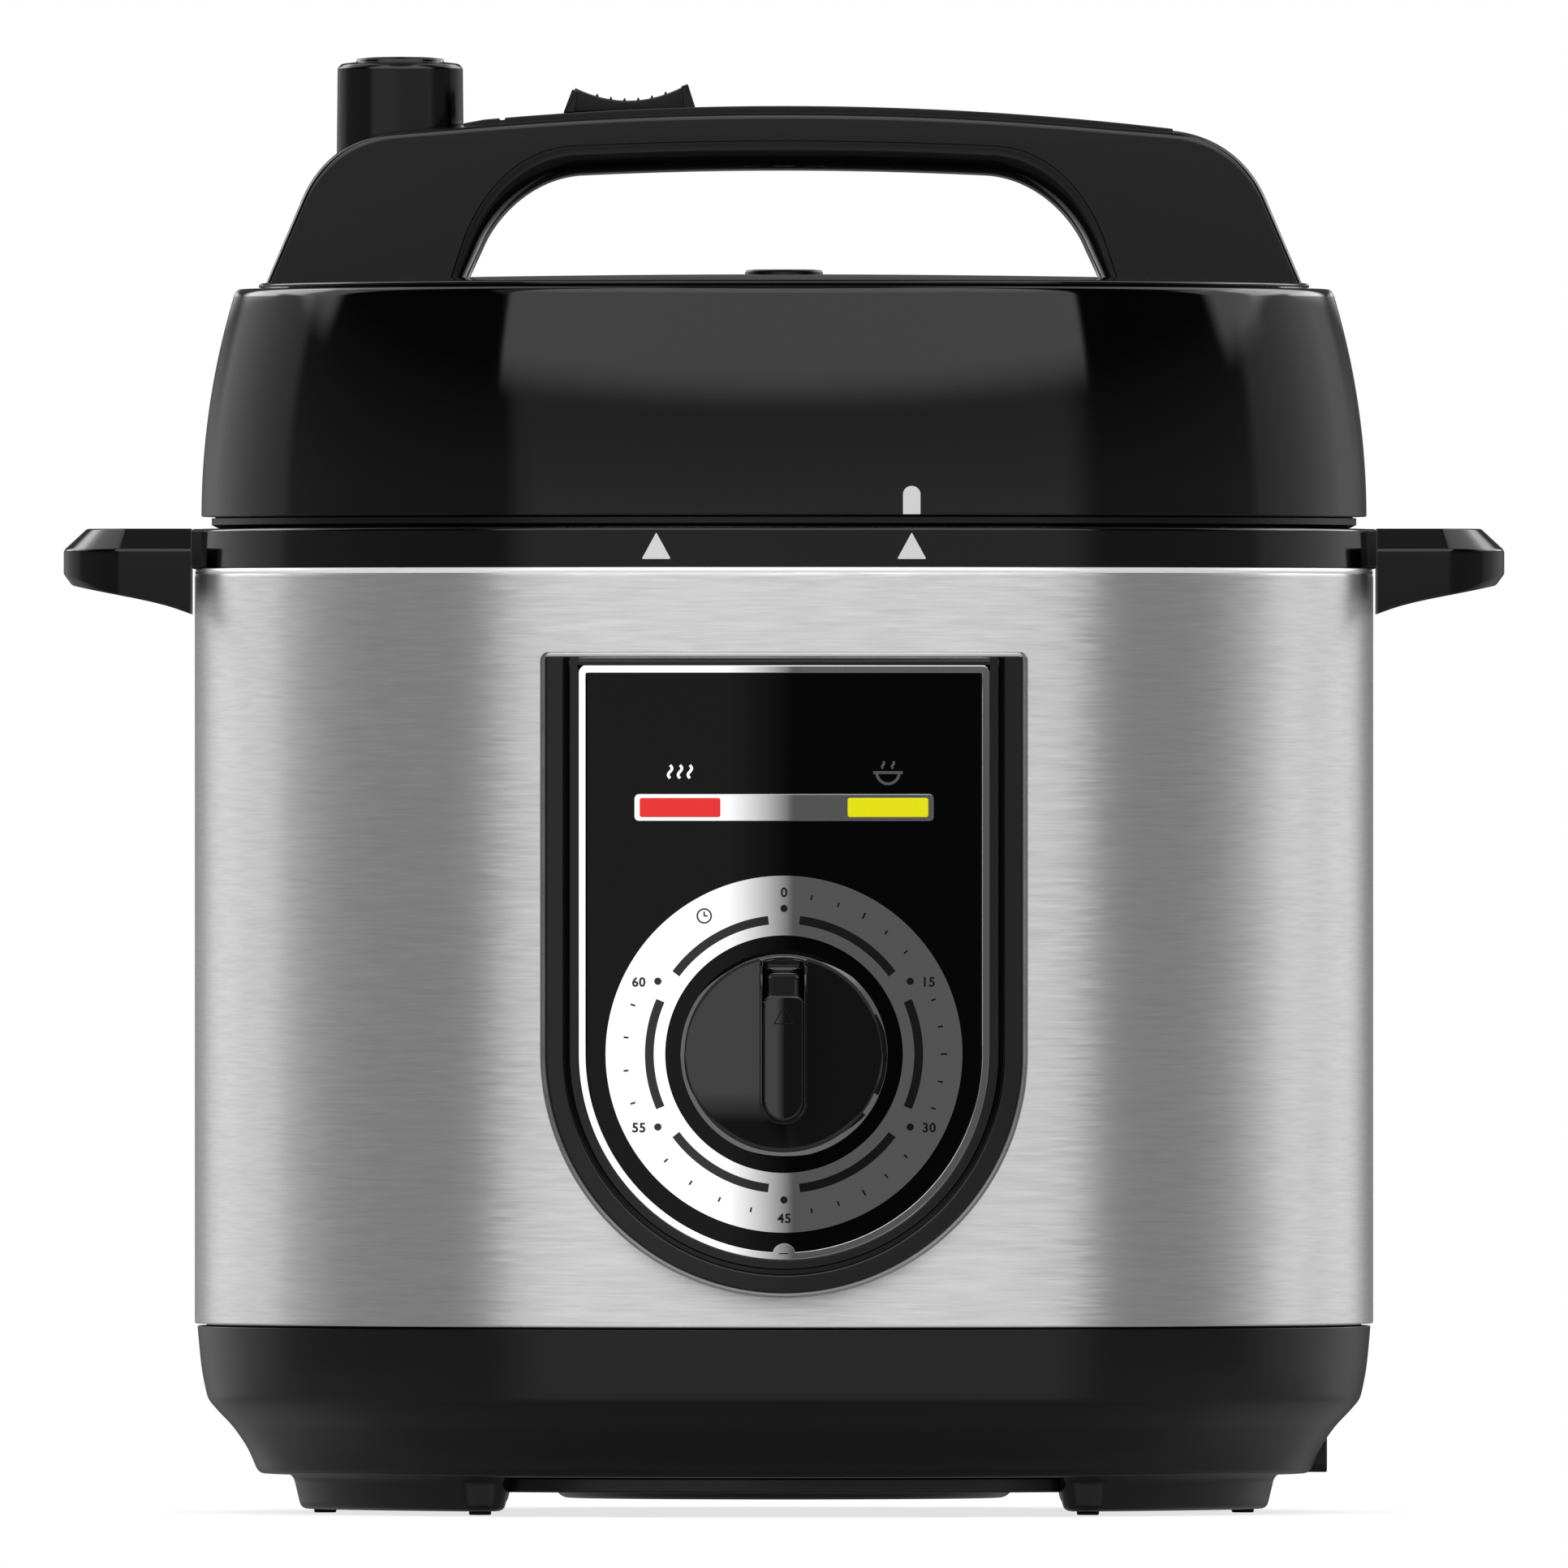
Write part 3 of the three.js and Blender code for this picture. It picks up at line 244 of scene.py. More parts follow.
def faces_of(patch, first):
    """Four-sided faces between neighbours on a grid of points, round both ways where it closes,
    with one flat face over each open end; turned over if they enclose a negative volume."""
    points, round_rows, round_columns = patch
    rows, columns = points.shape[:2]
    r, c = np.meshgrid(
        np.arange(rows - (not round_rows)), np.arange(columns - (not round_columns)), indexing="ij"
    )
    up, right = (r + 1) % rows, (c + 1) % columns
    quads = np.stack([r * columns + c, r * columns + right, up * columns + right, up * columns + c], -1)
    quads = quads.reshape(-1, 4)
    number = np.arange(rows * columns).reshape(rows, columns)
    caps = []
    if not round_rows:
        caps = [number[0][::-1], number[-1]]
    elif not round_columns:
        caps = [number[:, 0], number[:, -1][::-1]]
    flat = points.reshape(-1, 3)
    a, b, c, d = (flat[quads[:, k]] for k in range(4))
    volume = np.einsum("ij,ij->", a, np.cross(b, c)) + np.einsum("ij,ij->", a, np.cross(c, d))
    for cap in caps:
        edge = flat[cap]
        fan = np.cross(edge[1:-1], edge[2:])
        volume += (edge[0] * fan).sum()
    faces = quads.tolist() + [cap.tolist() for cap in caps if np.ptp(flat[cap], axis=0).max() > 1e-6]
    if volume < 0:
        faces = [face[::-1] for face in faces]
    return [[index + first for index in face] for face in faces]


def mesh_of(name, patches):
    """One mesh from patches in millimetres, with the points that meet at poles and seams merged."""
    vertices, faces = [], []
    for patch in patches:
        faces += faces_of(patch, sum(len(v) for v in vertices))
        vertices.append(patch[0].reshape(-1, 3) * MM)
    mesh = bpy.data.meshes.new(name)
    mesh.from_pydata(np.concatenate(vertices).tolist(), [], faces)
    work = bmesh.new()
    work.from_mesh(mesh)
    bmesh.ops.remove_doubles(work, verts=work.verts, dist=2e-7)
    bmesh.ops.dissolve_degenerate(work, edges=work.edges, dist=1e-8)
    work.to_mesh(mesh)
    work.free()
    return mesh


def cut_from(mesh, patches):
    """The mesh with closed patches taken out of it."""
    body = bpy.data.objects.new("cut_body", mesh)
    tool = bpy.data.objects.new("cut_tool", mesh_of("cut_tool", patches))
    for thing in (body, tool):
        scene.collection.objects.link(thing)
    taken = body.modifiers.new("cut", "BOOLEAN")
    taken.object, taken.operation, taken.solver = tool, "DIFFERENCE", "EXACT"
    result = bpy.data.meshes.new_from_object(body.evaluated_get(bpy.context.evaluated_depsgraph_get()))
    for thing in (body, tool):
        bpy.data.objects.remove(thing)
    return result


def smoothed(body, angle):
    """Smooth shading up to an angle between faces, with flat faces kept flat next to round edges."""
    body.data.shade_smooth()
    body.data.set_sharp_from_angle(angle=math.radians(angle))
    even = body.modifiers.new("even_normals", "WEIGHTED_NORMAL")
    even.keep_sharp = True


def fitted(name, mesh, body, material, nodes=(), angle=35):
    """Puts a finished mesh, or a list of patches, on its CAD body in place of CAD nodes."""
    if isinstance(mesh, list):
        mesh = mesh_of(name, mesh)
    mesh.name = name
    made = bpy.data.objects.new(name, mesh)
    scene.collection.objects.link(made)
    made.data.materials.clear()
    made.data.materials.append(material)
    smoothed(made, angle)
    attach(made, body)
    if nodes:
        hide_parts(*nodes)
    return made


def block(x0, x1, y0, y1, z0, z1):
    """A box as two rows of four corners."""
    x, y = np.array([x0, x1, x1, x0]), np.array([y0, y0, y1, y1])
    return np.stack([np.stack([x, y, np.full(4, z)], -1) for z in (z0, z1)]).astype(float), False, True


def moulding_grain():
    """Fine spark-eroded skin of a moulded plastic: cloudy patches and a small grain. It puts out a
    mask for colour and roughness and a height."""
    group = bpy.data.node_groups.new("moulded_skin", "ShaderNodeTree")
    for name, value in (("Cloud Scale", 30.0), ("Grain Scale", 2500.0)):
        socket = group.interface.new_socket(name, in_out="INPUT", socket_type="NodeSocketFloat")
        socket.default_value = value
    for name in ("Cloud", "Grain"):
        group.interface.new_socket(name, in_out="OUTPUT", socket_type="NodeSocketFloat")
    put, _ = wired(group)
    given = put("NodeGroupInput")
    where = put("ShaderNodeTexCoord").outputs["Object"]
    cloud = put("ShaderNodeTexNoise", where)
    grain = put("ShaderNodeTexNoise", where)
    cloud.inputs["Detail"].default_value = 3.0
    grain.inputs["Detail"].default_value = 2.0
    group.links.new(given.outputs[0], cloud.inputs["Scale"])
    group.links.new(given.outputs[1], grain.inputs["Scale"])
    out = put("NodeGroupOutput")
    group.links.new(cloud.outputs[0], out.inputs[0])
    group.links.new(grain.outputs[0], out.inputs[1])
    return group


skin_group = moulding_grain()


def new_material(name):
    """A new material with its node tree and its main shader."""
    material = bpy.data.materials.new(name)
    material.use_nodes = True
    tree = material.node_tree
    return material, tree, tree.nodes["Principled BSDF"]


def linear(colour):
    """A written sRGB colour, 0 to 255, as linear light."""
    c = np.asarray(colour, float) / 255
    c = np.where(c <= 0.04045, c / 12.92, ((c + 0.055) / 1.055) ** 2.4)
    return (*c, 1.0)


def moulded(name, colour, rough, specular=0.5, grain=0.02, scale=2500.0, spread=0.15):
    """A moulded plastic: its colour and roughness drift by the skin's clouds, its grain is a bump."""
    material, tree, shader = new_material(name)
    put, _ = wired(tree)
    skin = put("ShaderNodeGroup", node_tree=skin_group)
    skin.inputs["Grain Scale"].default_value = scale
    tint = put("ShaderNodeMix", skin.outputs["Cloud"], data_type="RGBA")
    tint.inputs[6].default_value = [v * (1 - spread) for v in linear(colour)[:3]] + [1]
    tint.inputs[7].default_value = [v * (1 + spread) for v in linear(colour)[:3]] + [1]
    tree.links.new(tint.outputs[2], shader.inputs["Base Color"])
    low, high = rough * (1 - 0.5 * spread), rough * (1 + 0.5 * spread)
    ranged = put("ShaderNodeMapRange", skin.outputs["Cloud"], 0.3, 0.7, low, high)
    tree.links.new(ranged.outputs[0], shader.inputs["Roughness"])
    bump = put("ShaderNodeBump")
    bump.inputs["Strength"].default_value = 1.0
    bump.inputs["Distance"].default_value = grain * MM
    tree.links.new(skin.outputs["Grain"], bump.inputs["Height"])
    tree.links.new(bump.outputs[0], shader.inputs["Normal"])
    shader.inputs["Specular IOR Level"].default_value = specular
    return material


base_black = moulded("base_black", (11, 11, 11), 0.22, grain=0.002)
base_outline = softened(
    [
        (131.9, 41.8), (131.4, 36), (130.9, 31.6), (130.1, 27.6), (129.5, 25.2), (127.0, 22.3),
        (124.3, 19.6), (122.3, 16.9), (120.7, 14.4), (119.6, 12.1), (118.6, 9.6), (117.6, 8.6),
        (99.5, 8.6), (99.5, 11), (115.9, 11), (119, 17.2), (126.8, 26.6), (127.4, 47), (129.8, 47),
        (129.8, 41.8),
    ],
    [0.3, 3, 3, 2.2, 1.2, 2, 2, 2, 2, 2, 0.9, 0.8, 0.5, 0.5, 1, 2, 2, 0.5, 0.5, 0.3],
)
inlet_low, inlet_high = (tuple(v / MM for v in corner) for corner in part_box("power_inlet"))
base_mesh = cut_from(
    mesh_of("base", [turned(base_outline, 256)]),
    [block(inlet_low[0] - 2, 140, inlet_low[1] - 0.3, inlet_high[1] + 0.3, 6.6, inlet_high[2] + 0.3)],
)
fitted("base_moulding", base_mesh, "housing", base_black, ["base_housing"])


# ---- Bottom cover, feet, rubber pads and screws ------------------------------------------------
# A dished black cover closes the base. Four curved feet are moulded on it, each with a groove
# that holds a strip of rubber with a round nub at both ends. Three screws hold the cover.
def offset(outline, inset):
    """A closed outline moved inwards along the mean of its two edge normals at each point, by the
    inset over the cosine of half the corner."""
    p = np.asarray(outline, float)
    ahead, behind = np.roll(p, -1, 0) - p, p - np.roll(p, 1, 0)
    area = (p[:, 0] * np.roll(p[:, 1], -1) - np.roll(p[:, 0], -1) * p[:, 1]).sum()
    turn = np.sign(area)
    n1 = np.stack([-ahead[:, 1], ahead[:, 0]], 1)
    n2 = np.stack([-behind[:, 1], behind[:, 0]], 1)
    n1 /= np.linalg.norm(n1, axis=1, keepdims=True) + 1e-12
    n2 /= np.linalg.norm(n2, axis=1, keepdims=True) + 1e-12
    n = n1 + n2
    n /= np.linalg.norm(n, axis=1, keepdims=True) + 1e-12
    cosine = np.clip((n * n1).sum(1, keepdims=True), 0.35, 1)
    return p + turn * n * inset / cosine


def level(u, v, d):
    """An outline seen from above, at height d."""
    return np.stack([u, v, np.broadcast_to(d, u.shape)], -1)


def upright(u, v, d):
    """An outline seen from the front, at depth d along Y."""
    return np.stack([u, np.broadcast_to(d, u.shape), v], -1)


def slab(outline, ends, edge, place=level, steps=3, fill=0):
    """An outline carried from one depth to another. At both ends the edge is a quarter round of
    radius e: inset e(1 - sin t) at depth e(1 - cos t). With fill, rings shrunk about the middle
    cover the ends, so that they can follow a bowed place."""
    t = np.linspace(0, math.pi / 2, steps + 1)
    inset = np.concatenate([edge * (1 - np.sin(t)), edge * (1 - np.sin(t[::-1]))])
    way = np.sign(ends[1] - ends[0])
    near, far = ends[0] + way * edge * (1 - np.cos(t)), ends[1] - way * edge * (1 - np.cos(t[::-1]))
    depth = np.concatenate([near, far])
    rings = np.stack([offset(outline, i) for i in inset])
    if fill:
        centre = rings[0].mean(0)
        s = (np.arange(fill) / fill)[:, None, None]
        start = centre + (rings[0] - centre) * s
        stop = centre + (rings[-1] - centre) * s[::-1]
        rings = np.concatenate([start, rings, stop])
        depth = np.concatenate([np.full(fill, ends[0]), depth, np.full(fill, ends[1])])
    return place(rings[..., 0], rings[..., 1], depth[:, None]), False, True


foot_circle, nub_reach = 106.0, (103.0, 68.0)


def foot_outline(half, quadrant):
    """A bar with round ends bent along the foot circle: two concentric arcs joined by half circles
    about the points on the circle."""
    a0, a1 = (math.acos(x / foot_circle) for x in nub_reach)
    if quadrant % 2:
        a0, a1 = math.pi - a1, math.pi - a0
    if quadrant > 1:
        a0, a1 = a0 + math.pi, a1 + math.pi

    def ring(r, a):
        """Points at angles a on a circle of radius r."""
        return np.stack([r * np.cos(a), r * np.sin(a)], 1)

    def end(a, first):
        """A half circle about the foot circle's point at angle a."""
        return ring(foot_circle, np.array([a])) + ring(half, np.linspace(first, first + math.pi, 10))

    outer = ring(foot_circle + half, np.linspace(a0, a1, 10)[1:-1])
    inner = ring(foot_circle - half, np.linspace(a1, a0, 10)[1:-1])
    return np.concatenate([outer, end(a1, a1), inner, end(a0, a0 + math.pi)])


def nub_places(quadrant):
    """Where the pad's two round ends sit: on the foot circle, at two distances from the YZ plane."""
    x = np.array(nub_reach) * (1 if quadrant in (0, 3) else -1)
    y = np.sqrt(foot_circle**2 - x**2) * (1 if quadrant < 2 else -1)
    return list(zip(x, y))


cover_outline = softened(
    [(0, 3.1), (49.6, 3.1), (51.8, 5.1), (103.8, 5.1), (103.8, 8.3), (51, 8.3), (49, 6), (0, 6)],
    [0, 1.2, 0.8, 0.6, 0.3, 0.6, 0.6, 0],
    closed=False,
)
spoke = np.linspace(0, 2 * math.pi, 6, endpoint=False) + math.pi / 6


def spun(patch, angle):
    """A patch turned about Z."""
    c, s = math.cos(angle), math.sin(angle)
    return patch[0] @ np.array([[c, s, 0], [-s, c, 0], [0, 0, 1.0]]), *patch[1:]


cover_mesh = cut_from(
    mesh_of("cover", [turned(cover_outline, 128)]),
    [spun(block(58, 88, -2, 2, 4, 9), a) for a in spoke],
)
fitted("base_cover", cover_mesh, "housing", base_black, ["bottom_cover"])
foot_rows = (
    (9.2, 0), (9.2, 5), (9.1, 8.9), (8.75, 8.5), (8.4, 7.8), (7.9, 7.3), (7.3, 7.0),
    (6.8, 6.85), (2.4, 5.8), (1.7, 5.55), (1.2, 5.1), (0.9, 4.4), (0.8, 3.4), (0.8, 0),
)


def foot(quadrant):
    """Rings of the foot's outline by height and half width, narrower ever lower: a fillet under the
    base, a draft, a round lower edge. Top and bottom close along the foot circle."""
    outlines = [foot_outline(half, quadrant) for _, half in foot_rows]
    rings = [np.column_stack([p, np.full(len(p), z)]) for p, (z, _) in zip(outlines, foot_rows)]
    return np.stack(rings), False, True


rubber = moulded("pad_rubber", (20, 20, 20), 0.75, specular=0.3, grain=0.02, scale=4000.0, spread=0.25)
for q, place in enumerate(("back_right", "back_left", "front_left", "front_right")):
    groove = [slab(foot_outline(2.9, q), (0.2, 3.9), 0.0)]
    fitted("foot_" + place, cut_from(mesh_of("foot", [foot(q)]), groove), "housing", base_black)
    nubs = [
        turned(softened([(0, 0), (2.5, 0), (2.5, 2), (0, 2)], [0, 0.4, 0, 0], closed=False), 32, at)
        for at in nub_places(q)
    ]
    strip = slab(foot_outline(2.55, q), (1.2, 3.6), 0.25)
    fitted("pad_" + place, [strip, *nubs], "housing", rubber, ["foot_pad_" + place])


def turned_skin():
    """Fine rings left by a lathe or a press on metal: noise read along the radius and the height,
    with a slow drift along the circle. It puts out one value, used as a mask and as a height."""
    group = bpy.data.node_groups.new("turned_rings", "ShaderNodeTree")
    for name, value in (("Pitch", 1200.0), ("Drift", 12.0)):
        socket = group.interface.new_socket(name, in_out="INPUT", socket_type="NodeSocketFloat")
        socket.default_value = value
    group.interface.new_socket("Ring", in_out="OUTPUT", socket_type="NodeSocketFloat")
    put, maths = wired(group)
    given = put("NodeGroupInput")
    x, y, z = put("ShaderNodeSeparateXYZ", put("ShaderNodeTexCoord").outputs["Object"]).outputs
    radius = maths("SQRT", maths("ADD", maths("MULTIPLY", x, x), maths("MULTIPLY", y, y)))
    across = maths("MULTIPLY", maths("ADD", radius, z), given.outputs[0])
    where = put(
        "ShaderNodeCombineXYZ",
        maths("MULTIPLY", x, given.outputs[1]),
        maths("MULTIPLY", y, given.outputs[1]),
        across,
    )
    ring = put("ShaderNodeTexNoise", where.outputs[0])
    ring.inputs["Scale"].default_value = 1.0
    ring.inputs["Detail"].default_value = 3.0
    out = put("NodeGroupOutput")
    group.links.new(ring.outputs[0], out.inputs[0])
    return group


ring_group = turned_skin()


def worked(name, colour, rough, pitch=1200.0, depth=0.002, tone=0.06):
    """A bare metal with working rings, which shift its colour and its roughness and dent it."""
    material, tree, shader = new_material(name)
    put, _ = wired(tree)
    skin = put("ShaderNodeGroup", node_tree=ring_group)
    skin.inputs["Pitch"].default_value = pitch
    tint = put("ShaderNodeMix", skin.outputs["Ring"], data_type="RGBA")
    tint.inputs[6].default_value = [v * (1 - tone) for v in linear(colour)[:3]] + [1]
    tint.inputs[7].default_value = [min(1, v * (1 + tone)) for v in linear(colour)[:3]] + [1]
    tree.links.new(tint.outputs[2], shader.inputs["Base Color"])
    ranged = put("ShaderNodeMapRange", skin.outputs["Ring"], 0.3, 0.7, rough * 0.8, rough * 1.2)
    tree.links.new(ranged.outputs[0], shader.inputs["Roughness"])
    bump = put("ShaderNodeBump")
    bump.inputs["Strength"].default_value = 1.0
    bump.inputs["Distance"].default_value = depth * MM
    tree.links.new(skin.outputs["Ring"], bump.inputs["Height"])
    tree.links.new(bump.outputs[0], shader.inputs["Normal"])
    shader.inputs["Metallic"].default_value = 1.0
    return material


zinc = worked("zinc_plate", (176, 178, 182), 0.32, pitch=900.0, depth=0.004)


def screw(x, y, head, seat, length):
    """A pan head below and a plain shank above its seat, turned about the screw's own axis, with a
    cross recess made by two crossed bars taken out of the head."""
    outline = [(0, seat - 1.6), (head * 0.8, seat - 1.5), (head, seat - 0.2), (head, seat)]
    outline += [(1.7, seat), (1.7, seat + length), (0, seat + length)]
    outline = softened(outline, [0, 0.5, 0.3, 0.1, 0, 0.3, 0], closed=False)
    mesh = mesh_of("screw", [turned(outline, 40, (x, y))])
    arm, half, deep = head * 0.5, 0.4, (seat - 2, seat - 0.8)
    along_x = block(x - arm, x + arm, y - half, y + half, *deep)
    along_y = block(x - half, x + half, y - arm, y + arm, *deep)
    return cut_from(cut_from(mesh, [along_x]), [along_y])


cover_screw_circle = 94
for number, a in enumerate(np.pi / 2 + np.arange(3) * 2 * np.pi / 3, 1):
    made = screw(cover_screw_circle * math.cos(a), cover_screw_circle * math.sin(a), 3.6, 4.8, 3.4)
    fitted(f"cover_screw_{number}", made, "housing", zinc, [f"bottom_screw_{number}"])

# ---- Power inlet -------------------------------------------------------------------------------
# A black thermoset block let into the base from the right, with a six-sided socket. Three flat brass
# pins are pressed into it from behind.
satin_black = moulded("satin_black", (14, 14, 14), 0.33, grain=0.004)
brass = worked("pin_brass", (205, 170, 105), 0.28, pitch=2500.0, depth=0.001)


def dressed(node, material, bevel=0.25):
    """A CAD node kept as it is, with its loose triangles joined and its edges broken."""
    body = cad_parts[node]
    body.data.materials.clear()
    body.data.materials.append(material)
    weld = body.modifiers.new("joined", "WELD")
    weld.merge_threshold = 2e-6
    edge = body.modifiers.new("broken_edges", "BEVEL")
    edge.width, edge.segments, edge.limit_method = bevel * MM, 2, "ANGLE"
    edge.angle_limit = math.radians(30)
    edge.use_clamp_overlap = True


dressed("power_inlet", satin_black, 0.4)
for pin in ("inlet_pin_line", "inlet_pin_neutral", "inlet_pin_earth"):
    dressed(pin, brass, 0.3)

# ---- Steel shell -------------------------------------------------------------------------------
# One sheet of stainless steel rolled into a tube and brushed round it, with its upper edge rolled
# in. A window is punched for the control panel, and its edge stands up as a narrow bead.
shell_radius, shell_low, shell_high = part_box("outer_shell")[1].x / MM, 42.3, 211.2


def brushed_skin():
    """Brushing round the body: noise stretched along the circle and fine in height. It puts out a
    mask of streaks, and a normal swung sideways and up by two such noises."""
    group = bpy.data.node_groups.new("brushed_streaks", "ShaderNodeTree")
    for name, value in (("Sideways", 0.06), ("Upward", 0.12)):
        socket = group.interface.new_socket(name, in_out="INPUT", socket_type="NodeSocketFloat")
        socket.default_value = value
    group.interface.new_socket("Streak", in_out="OUTPUT", socket_type="NodeSocketFloat")
    group.interface.new_socket("Normal", in_out="OUTPUT", socket_type="NodeSocketVector")
    put, maths = wired(group)
    given = put("NodeGroupInput")
    where = put("ShaderNodeTexCoord").outputs["Object"]

    def streaks(stretch, detail, offset):
        """Noise squeezed by a stretch along each axis, read from its own place."""
        at = put("ShaderNodeMapping", where)
        at.inputs["Scale"].default_value = stretch
        at.inputs["Location"].default_value = (offset, offset, offset)
        noise = put("ShaderNodeTexNoise", at.outputs[0])
        noise.inputs["Scale"].default_value = 1.0
        noise.inputs["Detail"].default_value = detail
        return noise.outputs[0]

    fine = streaks((100, 100, 2600), 3.0, 0.0)
    broad = streaks((60, 60, 1100), 2.0, 5.0)
    tilt = streaks((100, 100, 2500), 3.0, 11.0)
    mask = maths("ADD", maths("MULTIPLY", fine, 0.6), maths("MULTIPLY", broad, 0.4))
    normal = put("ShaderNodeNewGeometry").outputs["Normal"]
    round_body = put("ShaderNodeVectorMath", (0, 0, 1), normal, operation="CROSS_PRODUCT").outputs[0]
    sideways = maths("MULTIPLY", maths("SUBTRACT", tilt, 0.5), given.outputs[0])
    upward = maths("MULTIPLY", maths("SUBTRACT", mask, 0.5), given.outputs[1])
    swing = put("ShaderNodeVectorMath", round_body, operation="SCALE")
    group.links.new(sideways, swing.inputs["Scale"])
    lift = put("ShaderNodeCombineXYZ", 0.0, 0.0, upward)
    moved = put("ShaderNodeVectorMath", normal, swing.outputs[0], operation="ADD").outputs[0]
    moved = put("ShaderNodeVectorMath", moved, lift.outputs[0], operation="ADD").outputs[0]
    moved = put("ShaderNodeVectorMath", moved, operation="NORMALIZE").outputs[0]
    out = put("NodeGroupOutput")
    group.links.new(mask, out.inputs[0])
    group.links.new(moved, out.inputs[1])
    return group


def brushed(name, colour, rough, sideways, upward, tone):
    """A brushed metal whose gloss spreads across the streaks: the streaks shift its colour and its
    roughness and swing its normal."""
    material, tree, shader = new_material(name)
    put, _ = wired(tree)
    skin = put("ShaderNodeGroup", node_tree=brushed_group)
    skin.inputs["Sideways"].default_value = sideways
    skin.inputs["Upward"].default_value = upward
    shade = put("ShaderNodeMapRange", skin.outputs["Streak"], 0.3, 0.7, 0.0, 1.0)
    tint = put("ShaderNodeMix", shade.outputs[0], data_type="RGBA")
    tint.inputs[6].default_value = [v * (1 - tone) for v in linear(colour)[:3]] + [1]
    tint.inputs[7].default_value = [min(1, v * (1 + tone)) for v in linear(colour)[:3]] + [1]
    tree.links.new(tint.outputs[2], shader.inputs["Base Color"])
    ranged = put("ShaderNodeMapRange", skin.outputs["Streak"], 0.3, 0.7, rough * 1.15, rough * 0.85)
    tree.links.new(ranged.outputs[0], shader.inputs["Roughness"])
    tree.links.new(skin.outputs["Normal"], shader.inputs["Normal"])
    tangent = put("ShaderNodeTangent", direction_type="RADIAL", axis="Z")
    tree.links.new(tangent.outputs[0], shader.inputs["Tangent"])
    shader.inputs["Anisotropic"].default_value = 1.0
    shader.inputs["Anisotropic Rotation"].default_value = 0.25
    shader.inputs["Metallic"].default_value = 0.85
    return material


brushed_group = brushed_skin()
brushed_steel = brushed("brushed_steel", (248, 248, 248), 0.4, 0.07, 0.16, 0.08)
shell_outline = softened(
    [
        (shell_radius, shell_low), (shell_radius, shell_high), (128.6, shell_high),
        (128.6, shell_high - 1), (shell_radius - 1, shell_high - 1), (shell_radius - 1, shell_low),
    ],
    [0.5, 1.3, 0.4, 0.3, 0.6, 0.3],
    steps=6,
)
fitted(
    "steel_shell", [turned(shell_outline, 256)], "housing", brushed_steel, ["outer_shell"]
)
# Painted highlight: the rolled edge gets a near-white colour and is only a little metallic, so it shows as a
# bright line from every side, as its reflection would.
painted_highlight_edge = worked("painted_highlight_edge", (252, 252, 252), 0.2, pitch=500.0, depth=0.001, tone=0.01)
painted_highlight_edge.node_tree.nodes["Principled BSDF"].inputs["Metallic"].default_value = 0.2
roll_outline = softened(
    [
        (shell_radius - 0.2, shell_high - 0.5), (shell_radius, shell_high),
        (shell_radius - 0.6, shell_high + 1), (130, shell_high + 1), (130, shell_high - 0.5),
    ],
    [0.1, 0.3, 0.5, 0.3, 0.2],
)
fitted("rolled_edge_with_painted_highlight", [turned(roll_outline, 256)], "housing", painted_highlight_edge)

# ---- Rim on top of the shell -------------------------------------------------------------------
# Gloss black moulding that closes the shell above and carries the side handles on two flat seats.
# A drip lip stands out at the back over the condensation cup. Two triangles are printed on it.
gloss_black = moulded("gloss_black", (6, 6, 6), 0.1, grain=0.0008, scale=1500.0)
rim_radius, rim_low, rim_high = 132.1, 211.8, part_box("upper_ring")[1].z / MM
rim_outline = softened(
    [
        (rim_radius, rim_low), (rim_radius - 0.3, rim_high), (118.9, rim_high), (118.9, 211.4),
        (112.6, 211.4), (112.6, 208.4), (122, 208.4), (125.6, 216), (125.6, 205), (127.9, 205),
        (127.9, rim_low),
    ],
    [0.35, 0.9, 0.4, 0.4, 0.3, 0.3, 1, 1, 0.5, 0.5, 0.3],
    steps=5,
)
seat_face, seat_half = 133.1, 16


def box_slab(x0, x1, y0, y1, z0, z1, edge):
    """A box whose upper and lower edges are rounded."""
    return slab([(x0, y0), (x1, y0), (x1, y1), (x0, y1)], (z0, z1), edge)


seat = box_slab(123, seat_face, -seat_half, seat_half, rim_low, rim_high - 0.05, 0.7)
seats = [spun(seat, a) for a in (0, math.pi)]
drip = slab(softened([(-30, 126.5), (30, 126.5), (30, 141), (-30, 141)], [0, 0, 4, 4]), (213, 217.5), 0.5)
drip_hole = turned([(0, 210), (3, 210), (3, 222), (0, 222)], 32, (0, 137))
fitted("rim", [turned(rim_outline, 256)], "housing", gloss_black, ["upper_ring"])
fitted("rim_seats", seats, "housing", gloss_black)
fitted("drip_lip", cut_from(mesh_of("drip", [drip]), [drip_hole]), "housing", gloss_black)

printed_white = moulded("printed_white", (222, 222, 222), 0.45, specular=0.3, grain=0.003, spread=0.03)


print_thick = 0.06


def print_on(outline, surface):
    """A thin printed shape on a body of revolution: each (x, z) goes to y = -sqrt(r(z)^2 - x^2), with
    r the surface's radius at that height, and the ink stands proud by its thickness."""

    def place(u, v, d):
        """An outline seen from the front, laid on the body of revolution and raised by d."""
        r = surface(v) + d
        return np.stack([u, -np.sqrt(r**2 - u**2), v], -1)

    return slab(outline, (print_thick, -0.12), 0.02, place, steps=1, fill=10)


def rim_face(z):
    """Radius of the rim's side at a height: it draws in evenly by 0.3 mm."""
    return rim_radius - 0.3 * (z - rim_low) / (rim_high - rim_low)


for side, x in (("left", -28.5), ("right", 28.5)):
    triangle = softened([(x - 3.25, 213.75), (x + 3.25, 213.75), (x, 219.7)], 0.35)
    fitted("mark_" + side, [print_on(triangle, rim_face)], "housing", printed_white)

